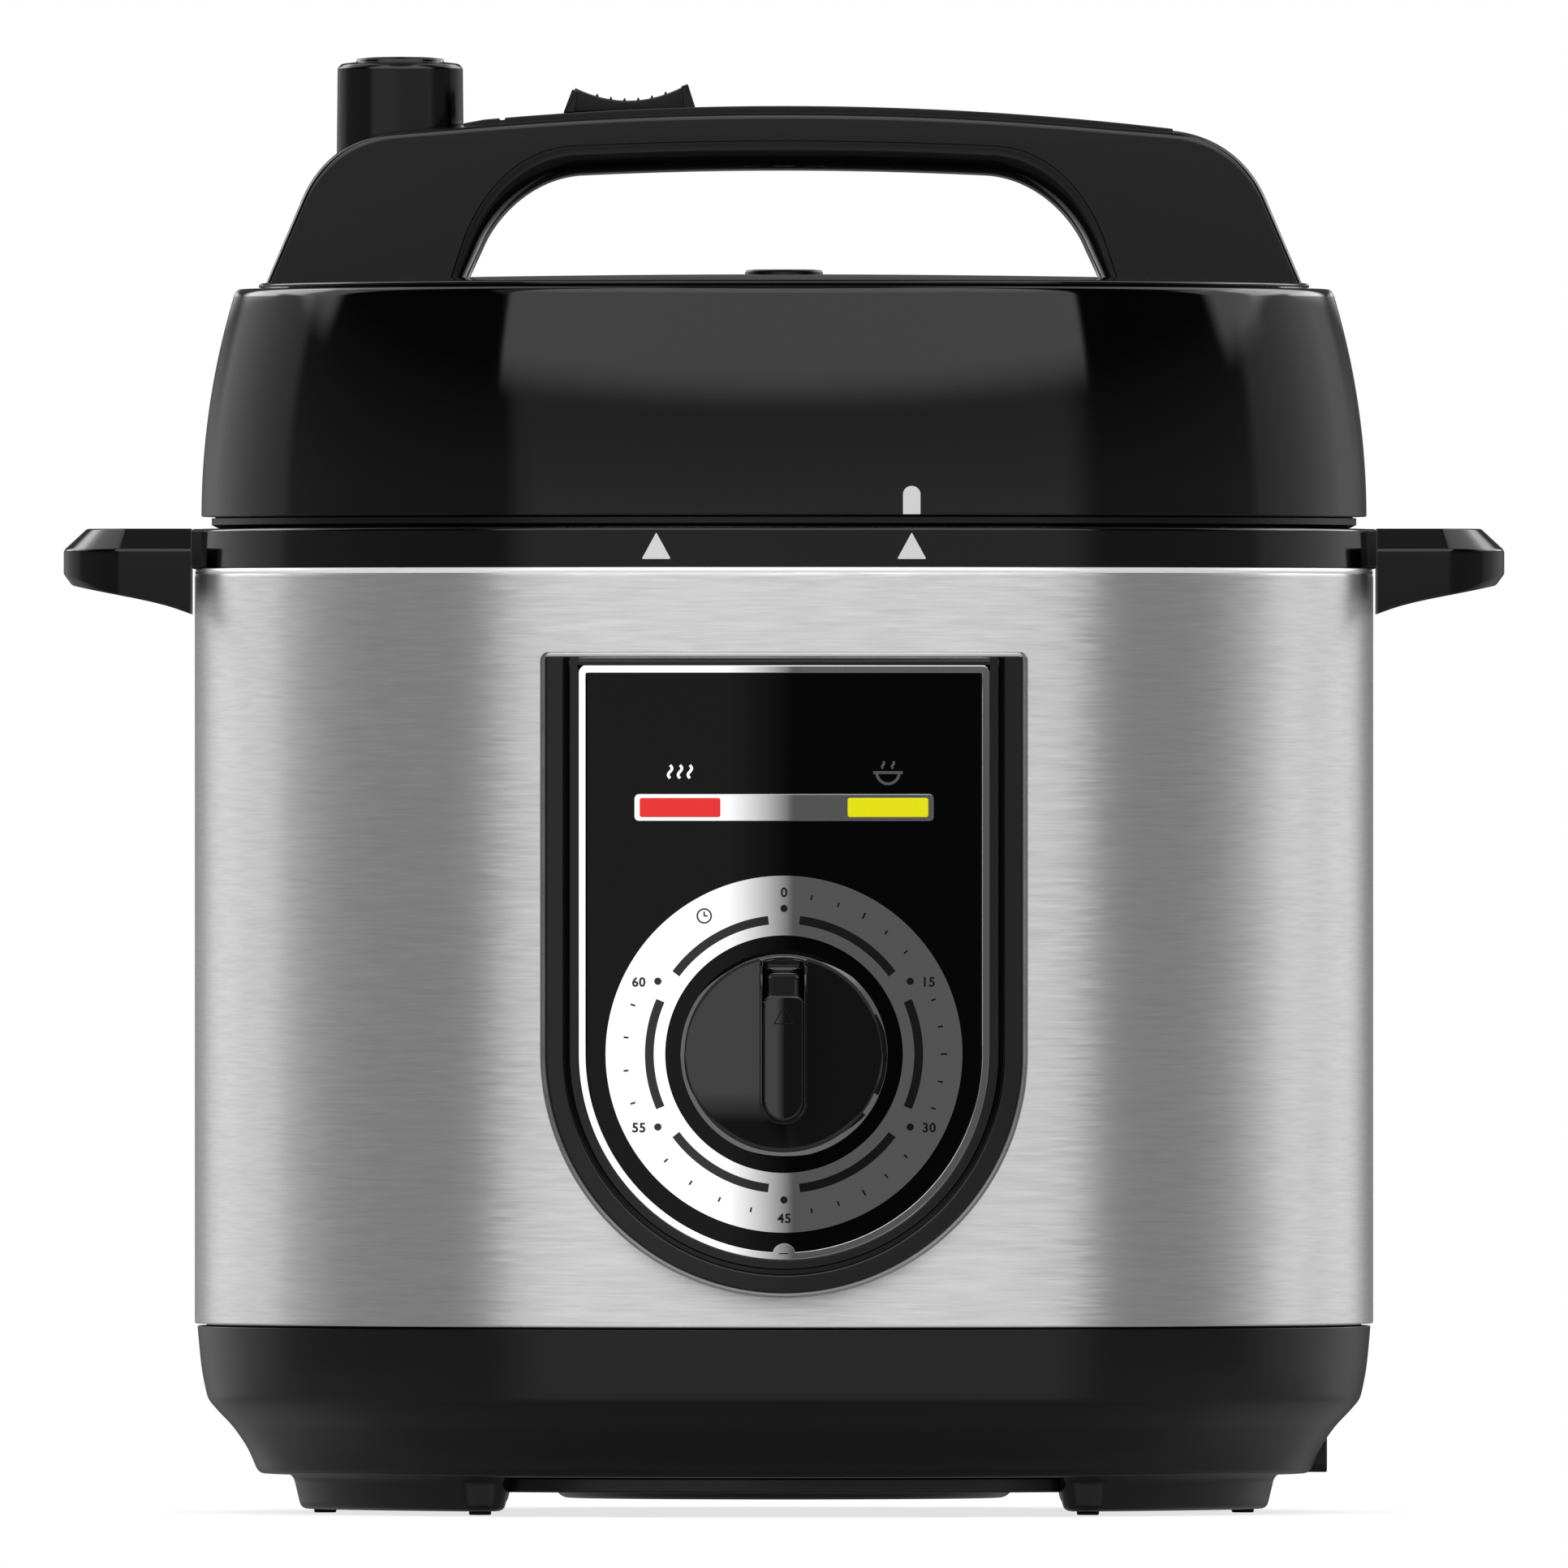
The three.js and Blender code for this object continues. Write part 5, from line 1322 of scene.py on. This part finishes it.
def bar_front(p):
    """How far the bar's front stands out over a place seen from the front. Along the bar it is
    level, then a ramp falls into the scoop, and a steeper one on to a flat end just proud of the cap.
    All this comes a little lower near the sides, which rounds the scoop's corners. Across, it is
    bowed."""
    x, z = p[:, 0], p[:, 1] + 0.8 * (p[:, 0] / 4.25) ** 8
    height = [156.67, 156.52, 156.17, 151.67, 151.17, 149.6, 149.3, 149.2]
    return np.interp(z, [12.7, 12.95, 13.2, 17.7, 18.0, 18.86, 19.3, 21.9], height) + (15.6 - x**2) / 32


def bar_wall(z):
    """How far the thin wall round the bar stands out: level, low at the foot and down at the rim."""
    crest = [153.97, 155.47, 155.97, 155.97, 155.07, 152.6, 150.2, 149.2]
    return np.interp(z, [-15.7, -15.0, -13.6, 15.5, 17.8, 19.6, 20.9, 21.9], crest)


def finger_bar():
    """A stadium outline. Its rings climb the wall, go over its crest, and step up or down to the
    front's own height at each point, which ever narrower outlines then close."""
    half, top = 5.35, 21.9
    a = np.linspace(math.pi, 2 * math.pi, 33)
    low = np.stack([half * np.cos(a), bar_bottom + half + half * np.sin(a)], 1)
    z = np.concatenate(
        [
            np.linspace(bar_bottom + half, 11.4, 18)[1:], np.linspace(11.7, 14.0, 24),
            np.linspace(14.8, 18.2, 5), np.linspace(18.5, 20.9, 14),
        ]
    )
    right = np.stack([np.full(len(z), half), z], 1)
    across = np.linspace(half, -half, 14)
    over = np.stack([across, top - 0.7 * (across / half) ** 2], 1)
    outline = np.concatenate([low, right, over, (right * (-1, 1))[::-1]])
    rings = []
    base = knob_face - 1.2
    for inset, share, drop in (
        (0, 0, 0), (0, 0.5, 0), (0, 1, 0.5), (0.08, 1, 0.2), (0.25, 1, 0.04), (0.5, 1, 0), (0.66, 1, 0.02),
        (0.74, 1, 0.1),
    ):
        p = offset(outline, inset)
        rings.append(np.column_stack([p, base + (bar_wall(p[:, 1]) - base) * share - drop]))
    for inset, drop in ((0.86, 0.45), (0.92, 0.2), (1.1, 0.05), (1.4, 0.0)):
        p = offset(outline, inset)
        groove = drop * np.clip((20 - p[:, 1]) / 1.2, 0, 1)
        rings.append(np.column_stack([p, bar_front(p) - groove]))
    last = rings[-1]
    for shrink in np.linspace(0.96, 0.0, 25):
        below = np.clip(last[:, 1] + 11.5, None, 0)
        p = np.stack([last[:, 0] * shrink, last[:, 1] + 0.8 * below * (shrink - 1)], 1)
        rings.append(np.column_stack([p, bar_front(p)]))
    r = np.stack(rings)
    return np.stack([r[..., 0] - face_left, -r[..., 2], r[..., 1] + dial_height], -1), False, True


knob_parts = [facing(bowed_face(turned(knob_outline, 128))), finger_bar()]
pointer = np.array([(-2.2, 6.9), (-0.1, 10.6), (2.0, 6.9), (-2.2, 6.9)]) + (0, dial_height)
pointer_front = 157.12


def raised(line, width, front, height):
    """A low ridge along a line on a flat front: two feet and a crest."""
    p = np.asarray(line, float)
    way = np.gradient(p, axis=0)
    way /= np.linalg.norm(way, axis=1, keepdims=True)
    n = np.stack([-way[:, 1], way[:, 0]], 1) * width / 2
    section = ((-1, -0.1), (-0.5, height), (0.5, height), (1, -0.1))
    g = np.stack([np.column_stack([p + n * k, np.full(len(p), -(front + h))]) for k, h in section])
    return np.stack([g[..., 0], g[..., 2], g[..., 1]], -1), True, False


ridges = [raised(pointer[k : k + 2], 0.3, pointer_front, 0.08) for k in range(3)]
fitted("knob", knob_parts + ridges, "knob", knob_black, ["timer_knob"], angle=26)

# ---- Condensation cup --------------------------------------------------------------------------
# A cup moulded in smoked clear plastic catches the drip. Its two lips slide on the rails of a black
# bracket at the back.
def smoked_plastic():
    """Dark clear plastic, a little see-through: its colour and roughness drift by the skin's clouds."""
    material, tree, shader = new_material("smoked_plastic")
    put, _ = wired(tree)
    skin = put("ShaderNodeGroup", node_tree=skin_group)
    tint = put("ShaderNodeMix", skin.outputs["Cloud"], data_type="RGBA")
    tint.inputs[6].default_value = (0.05, 0.055, 0.06, 1)
    tint.inputs[7].default_value = (0.07, 0.075, 0.08, 1)
    tree.links.new(tint.outputs[2], shader.inputs["Base Color"])
    ranged = put("ShaderNodeMapRange", skin.outputs["Cloud"], 0.3, 0.7, 0.12, 0.2)
    tree.links.new(ranged.outputs[0], shader.inputs["Roughness"])
    shader.inputs["Alpha"].default_value = 0.82
    return material


cup_low, cup_high = (tuple(v / MM for v in corner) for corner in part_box("condensation_cup"))


def rounded_back(half, front, back, corner):
    """An outline seen from above with two round corners at the back."""
    a = np.linspace(0, math.pi / 2, 8)
    bend = np.stack([half - corner + corner * np.cos(a), back - corner + corner * np.sin(a)], 1)
    return np.concatenate([[(half, front)], bend, (bend * (-1, 1))[::-1], [(-half, front)]])


cup_half, cup_corner = 26, 6
cup_rows = (
    (26, 158), (1.2, 158), (0.4, 158.4), (0, 159.4), (0, 200.6), (0.3, 201), (1.3, 201), (1.6, 200.6),
    (1.6, 161), (2.6, 159.6), (25, 159.6),
)


def cup():
    """An open box with round back corners: rings up the outside, over the rim and down the inside,
    each drawn in by its inset at its height."""
    rings = []
    for inset, z in cup_rows:
        short = min(inset, 10)
        half, corner = max(cup_half - inset, 0.5), max(cup_corner - inset, 0.5)
        p = rounded_back(half, cup_low[1] + short, cup_high[1] - short, corner)
        rings.append(np.column_stack([p, np.full(len(p), z)]))
    return np.stack(rings), False, True


lips = [
    box_slab(x0, x1, cup_low[1], cup_high[1] - 8, 199.4, 201, 0.3) for x0, x1 in ((-29, -25.9), (25.9, 29))
]
fitted("drip_cup", [cup(), *lips], "cup", smoked_plastic(), ["condensation_cup"])
dressed("cup_bracket", satin_black, 0.3)

# ---- Gasket, pressed lid and its screws --------------------------------------------------------
# A pressed steel dish with eight lugs that turn under the channel's. Under it sit the silicone
# gasket, a steel rack that holds it, and four screws up into the plastic liner.
silicone = moulded("silicone", (226, 223, 212), 0.42, specular=0.35, grain=0.01, spread=0.04)
gasket_outline = softened(
    [(99.5, 223.2), (105.5, 222.4), (107, 217.7), (109.7, 217.7), (109.7, 226), (99.5, 226)],
    [0.6, 2, 1, 1.2, 0.8, 0.8],
)
fitted("gasket", [turned(gasket_outline, 192)], "lid_guide", silicone, ["sealing_ring"])
rack_outline = softened(
    [(97, 220.8), (103.5, 220.8), (103.5, 221.9), (98.2, 222.3), (97.4, 225.8), (97, 225.8)],
    [0.5, 0.4, 0.4, 0.5, 0.15, 0.15],
)
fitted("gasket_rack", [turned(rack_outline, 128)], "lid", pressed_steel, ["seal_rack"])

valve_x, float_y, lid_screw_circle = -86.3, 34.0, 72
lid_screws = [
    (lid_screw_circle * math.cos(a), lid_screw_circle * math.sin(a))
    for a in math.pi / 4 + np.arange(4) * math.pi / 2
]
dish_outline = softened(
    [
        (0, 237.6), (97.4, 237.6), (98.6, 226.4), (111.2, 226.4), (111.2, 219.4), (112.2, 219.4),
        (112.2, 227.5), (99.8, 227.5), (98.4, 238.8), (0, 238.8),
    ],
    [0, 3, 1.2, 1.2, 0.4, 0.4, 1.8, 1.2, 3, 0],
    steps=6,
    closed=False,
)


def bore(x, y, radius, low, high, turns=40):
    """An upright round bar to cut a hole with."""
    return turned([(0, low), (radius, low), (radius, high), (0, high)], turns, (x, y))


dish = mesh_of("dish", [turned(dish_outline, 192)])
for hole in (bore(valve_x, 0, 5.2, 230, 245), bore(0, float_y, 3.2, 230, 245)):
    dish = cut_from(dish, [hole])
dish = cut_from(dish, [bore(x, y, 2.2, 230, 245, 16) for x, y in lid_screws])
fitted("pressed_lid", dish, "lid", pressed_steel, ["inner_lid"])
lug_gap = 0.5
lug_bottom = channel_top - 2 * lug_thick - lug_gap
lid_lugs = [lug(111.8, 115.2, lug_bottom, (i + 0.5) * lug_pitch, 0.6) for i in range(8)]
fitted("lid_lugs", lid_lugs, "lid", pressed_steel)
for number, (x, y) in enumerate(lid_screws, 1):
    made = screw(x, y, 4.2, 237.3, 9)
    fitted(f"lid_fixing_{number}", made, "lid", zinc, [f"lid_screw_{number}"])

# ---- Lid liner, side shell and round cover -----------------------------------------------------
# Three black mouldings: a satin liner whose edge shows below, a gloss side shell that bulges, and
# a shallow domed cover let into its top. A pale mark is printed on the shell.
liner_black = moulded("liner_black", (12, 12, 12), 0.3, grain=0.003)
liner_outline = softened(
    [
        (124.4, 221.02), (127.2, 221.02), (128.7, 221.75), (128.7, 223.3), (127.9, 223.3), (126.4, 241.6),
        (20, 241.6), (20, 239.2), (123.8, 239.2),
    ],
    [0.4, 0.3, 0.15, 0.2, 0.2, 1, 0.5, 0.5, 1],
)
liner = mesh_of("liner", [turned(liner_outline, 192)])
liner = cut_from(liner, [bore(valve_x, 0, 6, 235, 245), bore(0, float_y, 3.4, 235, 245)])
fitted("lid_lining", liner, "lid", liner_black, ["lid_liner"])

lid_black = moulded("lid_black", (5, 5, 5), 0.05, grain=0.0004, scale=900.0)
lid_radius, lid_low, lid_high, lid_bulge = 131.0, 223.6, 274.8, 173.0


def lid_face(z, inset=0.0):
    """Radius of the lid's side at a height: an arc that leaves the lower edge upright."""
    bulge = lid_bulge - inset
    return lid_radius - lid_bulge + np.sqrt(bulge**2 - (z - lid_low) ** 2)


z = np.append(lid_low + 0.4, np.linspace(lid_low + 0.5, lid_high - 1.9, 40))
side = np.stack([lid_face(z), z], 1)
t = np.linspace(0, 1, 8)[1:, None]
shoulder_a, shoulder_p, shoulder_b = side[-1], (lid_face(lid_high - 0.2), lid_high), (121.9, lid_high)
shoulder = (1 - t) ** 2 * shoulder_a + 2 * t * (1 - t) * np.array(shoulder_p) + t**2 * np.array(shoulder_b)
z_in = np.linspace(lid_high - 3.4, lid_low, 16)
inner = np.stack([lid_face(z_in, 2.4), z_in], 1)
ledge = lid_high - 0.8
top_steps = [(120.2, lid_high), (119.7, ledge), (119.2, ledge), (112, ledge), (112, lid_high - 2.6)]
foot_edge = [(lid_radius - 0.35, lid_low), (lid_radius - 0.05, lid_low + 0.12)]
shell_line = np.concatenate([foot_edge, side, shoulder, top_steps, inner])
fitted("lid_side", [turned(shell_line, 256)], "lid", lid_black, ["lid_shell"], angle=28)

mark_x, mark_half = 28.5, 1.95
a = np.linspace(0, math.pi, 20)
mark_foot = [(mark_x - mark_half, 223.75), (mark_x + mark_half, 223.75)]
mark_top = np.stack([mark_x + mark_half * np.cos(a), 228.2 + 1.85 * np.sin(a)], 1)
mark_outline = np.concatenate([mark_foot, mark_top])
fitted("lid_mark", [print_on(mark_outline, lid_face)], "lid", printed_white)

cap_radius = 118.1
cover_line = softened(
    [
        (0, 275.6), (109.4, 273.6), (109.4, 272), (111.7, 272), (111.7, 275.1), (cap_radius, 275.1),
        (cap_radius, 275.75), (117.4, 276.15), (95, 276.95), (70, 277.5), (35, 277.95), (0, 278.1),
    ],
    [0, 0.5, 0.3, 0.3, 0.3, 0.25, 0.35, 1.2, 8, 12, 14, 0],
    steps=6,
    closed=False,
)
cover = mesh_of("top_cover", [turned(cover_line, 256)])
cover = cut_from(cover, [bore(valve_x, 0, 9, 270, 280), bore(0, float_y, 5, 270, 280)])
fitted("top_cover", cover, "lid", lid_black, ["lid_top_cover"], angle=28)
guard = softened([(5.8, 278.0), (8.9, 278.0), (8.6, 279.3), (6.2, 279.5)], [0.2, 0.3, 0.4, 0.4])
fitted("float_collar", [turned(guard, 64, (0, float_y))], "lid", satin_black, ["float_guard"])

# ---- Lid handle --------------------------------------------------------------------------------
# A flat-faced arch moulded hollow with thin walls. A rounded liner closes it below along
# a seam, and a thin strip is let into its top, with a slot for the slider's stem.
handle_half, handle_wall, crown_height = 21.0, 2.2, 315.2


def arch(foot, knee, bends, shoulder, crown):
    """A whole arch from the right foot to the left: a straight leg, a cubic shoulder, and a top
    that falls with the square of the distance from the middle; the left half is its mirror."""
    s = np.linspace(0, 1, 8)[:-1, None]
    leg = np.array(foot) * (1 - s) + np.array(knee) * s
    t = np.linspace(0, 1, 36)[:-1, None]
    p0, p1, p2, p3 = (np.array(p, float) for p in (knee, *bends, shoulder))
    bend = (1 - t) ** 3 * p0 + 3 * t * (1 - t) ** 2 * p1 + 3 * t**2 * (1 - t) * p2 + t**3 * p3
    x = np.linspace(shoulder[0], 0, 40)
    top = np.stack([x, crown - (crown - shoulder[1]) * (x / shoulder[0]) ** 2], 1)
    half = np.concatenate([leg, bend, top])
    return np.concatenate([half, (half[:-1] * (-1, 1))[::-1]])


outer_arch = arch((116.4, 276.2), (108.4, 295), [(105.5, 302), (99, 309)], (88, 310.4), crown_height)
hollow_arch = arch((114.2, 276.2), (106.3, 294.2), [(103.4, 301), (97.6, 307)], (88, 308.4), 313.2)
seam_arch = arch((75.2, 276.2), (72.6, 284), [(69, 295.5), (60, 307)], (46, 306.9), 308)
grip_arch = arch((71.2, 276.2), (67.6, 284), [(64.5, 291.5), (56, 300)], (45, 300.4), 301.5)


def beside(line, distance):
    """A line moved to its left, as walked, by a distance along its normal."""
    way = np.gradient(line, axis=0)
    way /= np.linalg.norm(way, axis=1, keepdims=True)
    return line + np.stack([-way[:, 1], way[:, 0]], 1) * distance


def along_arch(rails):
    """Rails, each an arch at a depth, joined side to side into one closed skin with flat feet."""
    x = np.stack([line[:, 0] for line, _ in rails])
    z = np.stack([line[:, 1] for line, _ in rails])
    return upright(x, z, np.array([d for _, d in rails])[:, None]), True, False


def edge_rails(line, inward, radius, depth, steps=6):
    """A quarter round along an arch, from the face to the side: the line moved inwards by
    r(1 - sin t), at the face's depth moved back by r(1 - cos t)."""
    t = np.linspace(0, math.pi / 2, steps)
    shift, back = inward * radius * (1 - np.sin(t)), radius * (1 - np.cos(t))
    return [(beside(line, s), depth * (1 - b / abs(depth))) for s, b in zip(shift, back)]


sink = np.interp(np.abs(outer_arch[:, 0]), [0, 75, 100, 117], [0.9, 0.9, 0.4, 0.25])[:, None]
edge_arch = beside(outer_arch, sink)
far, edge_round = handle_half, 1.6
outer_front, outer_back = (edge_rails(edge_arch, 1, edge_round, depth, 10) for depth in (-far, far))
seam_front, seam_back = (edge_rails(seam_arch, -1, 0.12, depth) for depth in (-far, far))
across = np.linspace(edge_round - far, far - edge_round, 13)[1:-1]
crown = [(beside(outer_arch, sink * (y / far) ** 2), y) for y in across]
inside = far - handle_wall
wall = [(seam_arch, inside), (hollow_arch, inside), (hollow_arch, -inside), (seam_arch, -inside)]
rails = seam_front[::-1] + outer_front + crown + outer_back[::-1] + seam_back + wall
handle = mesh_of("handle", [along_arch(rails)])
handle = cut_from(handle, [bore(valve_x, 0, 15.2, 298, 322, 96)])
handle = cut_from(handle, [block(-47.8, -32.4, -5.4, 5.4, 305, 322)])
handle_black = moulded("handle_black", (20, 20, 20), 0.1, grain=0.001)
fitted("handle_cover", handle, "lid", handle_black, ["handle_shell"], angle=28)

half_section = np.array([(-0.35, 18.2), (0.1, 18.3), (0.1, 20.75), (0.42, 20.7), (0.78, 18.2), (1.0, 11.5)])
section = np.concatenate([half_section, (half_section * (1, -1))[::-1]])
section = softened(section, [0, 0, 0, 6, 6, 7, 7, 6, 6, 0, 0, 0], steps=8)
grip_rails = [(seam_arch * (1 - u) + grip_arch * u, -v) for u, v in section]
fitted(
    "handle_liner", [along_arch(grip_rails)], "lid", handle_black, ["handle_grip"], angle=28
)


def on_crown(u, v, d):
    """An outline seen from above, laid on the handle's falling top. It dips towards the valve."""
    dips = 0.1 * np.clip(-67.8 - u, 0, None)
    return np.stack([u, v, crown_height - 5.2 * (u / 88) ** 2 - dips + np.broadcast_to(d, u.shape)], -1)


def plate_outline(x0, x1, half, corner):
    """A long plate seen from above with round corners and points along its sides to bend by."""
    a = np.linspace(0, math.pi / 2, 8)
    bend = np.stack([corner * np.cos(a), corner * np.sin(a)], 1)
    right = bend + (x1 - corner, half - corner)
    left = (bend * (-1, 1))[::-1] + (x0 + corner, half - corner)
    x = np.linspace(right[-1, 0], left[0, 0], 40)[1:-1]
    upper = np.concatenate([right, np.stack([x, np.full(len(x), half)], 1), left])
    return np.concatenate([upper, (upper * (1, -1))[::-1]])


inlay = mesh_of("inlay", [slab(plate_outline(-72.0, 87.4, 14, 0.5), (-0.9, 0.7), 0.25, on_crown, fill=8)])
nick = slab([(-64.2, 313.6), (-63.8, 312.75), (-62.8, 312.75), (-62.5, 313.6)], (-16, 16), 0.0, upright)
inlay = cut_from(inlay, [nick])
inlay = cut_from(inlay, [bore(valve_x, 0, 14.7, 298, 322, 96)])
inlay = cut_from(inlay, [block(-47.8, -32.4, -5.4, 5.4, 300, 322)])
fitted("handle_inlay", inlay, "lid", satin_black, ["handle_top_plate"])

# ---- Steam release -----------------------------------------------------------------------------
# A steel pipe rises from a strainer cage through the lid. A weighted valve sits on it in a pocket
# of the handle, and a thumb slider on the handle pushes two ramps under the valve's skirt.
pipe_line = softened(
    [(1.6, 230), (7.6, 231.5), (7.6, 237.3), (4.7, 237.3), (4.7, 262), (3.1, 264), (3.1, 297), (1.6, 299.4)],
    [0.3, 0.4, 0.4, 0.5, 0.5, 0.5, 0.3, 0.2],
)
fitted("steam_pipe", [turned(pipe_line, 48, (valve_x, 0))], "lid", zinc, ["exhaust_pipe"])
cage_line = softened(
    [(0, 223), (9.6, 223.6), (9.6, 237.3), (8.3, 237.3), (8.3, 224.8), (0, 224.2)],
    [0, 0.8, 0.2, 0.2, 0.8, 0],
    closed=False,
)


def at_valve(patch, angle):
    """A patch made about Z, turned and moved to the valve's axis."""
    points, *closing = spun(patch, angle)
    return points + (valve_x, 0, 0), *closing


cage = mesh_of("cage", [turned(cage_line, 64, (valve_x, 0))])
for k in range(3):
    cage = cut_from(cage, [at_valve(block(-11, 11, -1.5, 1.5, 226, 233), k * math.pi / 3)])
fitted("strainer_cage", cage, "lid", pressed_steel, ["strainer"])

valve_line = softened(
    [
        (0, 327.1), (6.2, 327.0), (9.7, 326.6), (9.9, 325.9), (13.2, 325.5), (14.0, 324.6), (14.1, 324.2),
        (14.3, 303.1), (11.4, 303.1), (11.4, 319), (6.5, 319), (6.5, 287), (3.7, 287), (3.7, 299), (0, 301),
    ],
    [0, 1.5, 0.4, 0.15, 0.5, 0.3, 0.25, 0.3, 0.3, 1, 0.5, 0.3, 0.3, 0.3, 0],
    steps=5,
    closed=False,
)
valve = mesh_of("valve", [turned(valve_line, 128, (valve_x, 0))])
notch = slab([(13.2, -0.55), (16, -0.55), (16, 0.55), (13.2, 0.55)], (302, 317), 0.0)
valve = cut_from(valve, [at_valve(notch, -0.66)])
for k in range(3):
    groove = block(6.8, 9.1, -1.0, 1.0, 326.3, 328)
    valve = cut_from(valve, [at_valve(groove, k * 2 * math.pi / 3 - math.pi / 2)])
valve_black = moulded("valve_black", (10, 10, 10), 0.14, grain=0.001)
fitted("weighted_valve", valve, "valve", valve_black, ["steam_valve"], angle=28)


def dip(x):
    """Height of the saddle's hollow: a parabola between its two lips, a little tilted."""
    beside_low = x + 34.6
    return 317.15 + 0.0205 * beside_low**2 + 0.02 * beside_low


x = np.linspace(-46.9, -22.6, 30)
saddle_line = np.concatenate([[(-48.9, 314.6), (-20.4, 314.8)], np.stack([x, dip(x)], 1)[::-1]])
saddle = slab(saddle_line, (-8.8, 8.8), 0.35, upright)
end_left = softened([(-49.6, 314.4), (-47.0, 314.4), (-46.3, 319.3), (-47.6, 319.7)], 0.25)
end_right = softened([(-22.3, 314.6), (-19.6, 314.6), (-21.6, 320.9), (-23.1, 320.4)], 0.25)
ends = [slab(p, (-9.5, 9.5), 0.3, upright) for p in (end_left, end_right)]


def tooth(x):
    """A ridge across the saddle for the thumb, narrow at its crest."""
    foot, crest = dip(x) - 0.3, dip(x) + 0.6
    outline = [(x - 0.5, foot), (x + 0.5, foot), (x + 0.1, crest), (x - 0.1, crest)]
    return slab(outline, (-7.6, 7.6), 0.1, upright)


teeth = [tooth(x) for x in np.linspace(-42.0, -26.6, 6)]
stem = block(-41, -33, -4.8, 4.8, 309, 315)
arm_line = [(-33, 308.4), (-33, 310), (-60, 310), (-79, 300.5), (-79, 298.9), (-60, 308.4)]
prongs = [slab(arm_line, ends_y, 0.0, upright) for ends_y in ((-12, -8), (8, 12))]
bridge = slab([(-33, 308.4), (-33, 310), (-60, 310), (-60, 308.4)], (-8, 8), 0.0, upright)
fitted(
    "thumb_slider", [saddle, *ends, *teeth, stem, *prongs, bridge], "slider", handle_black,
    ["vent_slider"],
)

# ---- Float pin ---------------------------------------------------------------------------------
# A turned steel pin with a flange. A silicone washer sits on the flange and seals the hole in the
# lid when pressure lifts the pin into the collar on the lid.
pin_line = softened(
    [(0, 229.4), (5.6, 229.4), (5.6, 231.2), (2.4, 231.2), (2.4, 277.4), (1.8, 278), (0, 278)],
    [0, 0.4, 0.3, 0.2, 0.4, 0.3, 0],
    closed=False,
)
fitted("float_stem", [turned(pin_line, 40, (0, float_y))], "float", zinc, ["float_pin"])
washer_line = softened([(2.7, 231.5), (5.6, 231.5), (5.2, 233.2), (2.7, 233.2)], 0.3)
fitted("float_washer", [turned(washer_line, 40, (0, float_y))], "float", silicone, ["float_seal"])

# ---- Floor -------------------------------------------------------------------------------------
# A pale matt floor that keeps the shadow. It adds a share of white for the eye, and gloss looks
# through it at the room.
floor_mesh = bpy.data.meshes.new("floor")
floor_half, floor_drop, tiles = 4, 0.0002, 8
row = tiles + 1
reach = np.linspace(-floor_half, floor_half, row)
fx, fy = np.meshgrid(reach, reach, indexing="ij")
floor_points = np.stack([fx, fy, np.full_like(fx, -floor_drop)], -1).reshape(-1, 3)
r, c = np.meshgrid(np.arange(tiles), np.arange(tiles), indexing="ij")
first = r * row + c
floor_faces = np.stack([first, first + row, first + row + 1, first + 1], -1).reshape(-1, 4)
floor_mesh.from_pydata(floor_points.tolist(), [], floor_faces.tolist())
floor = bpy.data.objects.new("floor", floor_mesh)
scene.collection.objects.link(floor)
floor_paint, tree, shader = new_material("floor_paint")
put, maths = wired(tree)
cloud = put("ShaderNodeTexNoise", put("ShaderNodeTexCoord").outputs["Object"])
cloud.inputs["Scale"].default_value = 3.0
tint = put("ShaderNodeMix", cloud.outputs[0], data_type="RGBA")
tint.inputs[6].default_value = (0.83, 0.83, 0.83, 1)
tint.inputs[7].default_value = (0.85, 0.85, 0.85, 1)
tree.links.new(tint.outputs[2], shader.inputs["Base Color"])
shader.inputs["Roughness"].default_value = 0.9
shader.inputs["Specular IOR Level"].default_value = 0.0
rays = put("ShaderNodeLightPath").outputs
eye = maths("MAXIMUM", rays["Is Camera Ray"], rays["Is Transmission Ray"])
glow = put("ShaderNodeEmission", (1, 1, 1, 1), 1.0)
x, y, z = put("ShaderNodeSeparateXYZ", put("ShaderNodeTexCoord").outputs["Object"]).outputs
away = maths("SQRT", maths("ADD", maths("MULTIPLY", x, x), maths("MULTIPLY", y, y)))
share = put("ShaderNodeMapRange", away, 0.105, 0.15, 0.75, 1.0, interpolation_type="SMOOTHSTEP").outputs[0]
pale = put("ShaderNodeMixShader", maths("MULTIPLY", eye, share), shader.outputs[0], glow.outputs[0])
clear = put("ShaderNodeBsdfTransparent")
whole = put("ShaderNodeMixShader", rays["Is Glossy Ray"], pale.outputs[0], clear.outputs[0])
tree.links.new(whole.outputs[0], tree.nodes["Material Output"].inputs["Surface"])
floor_mesh.materials.append(floor_paint)

scene.view_settings.view_transform = "Standard"
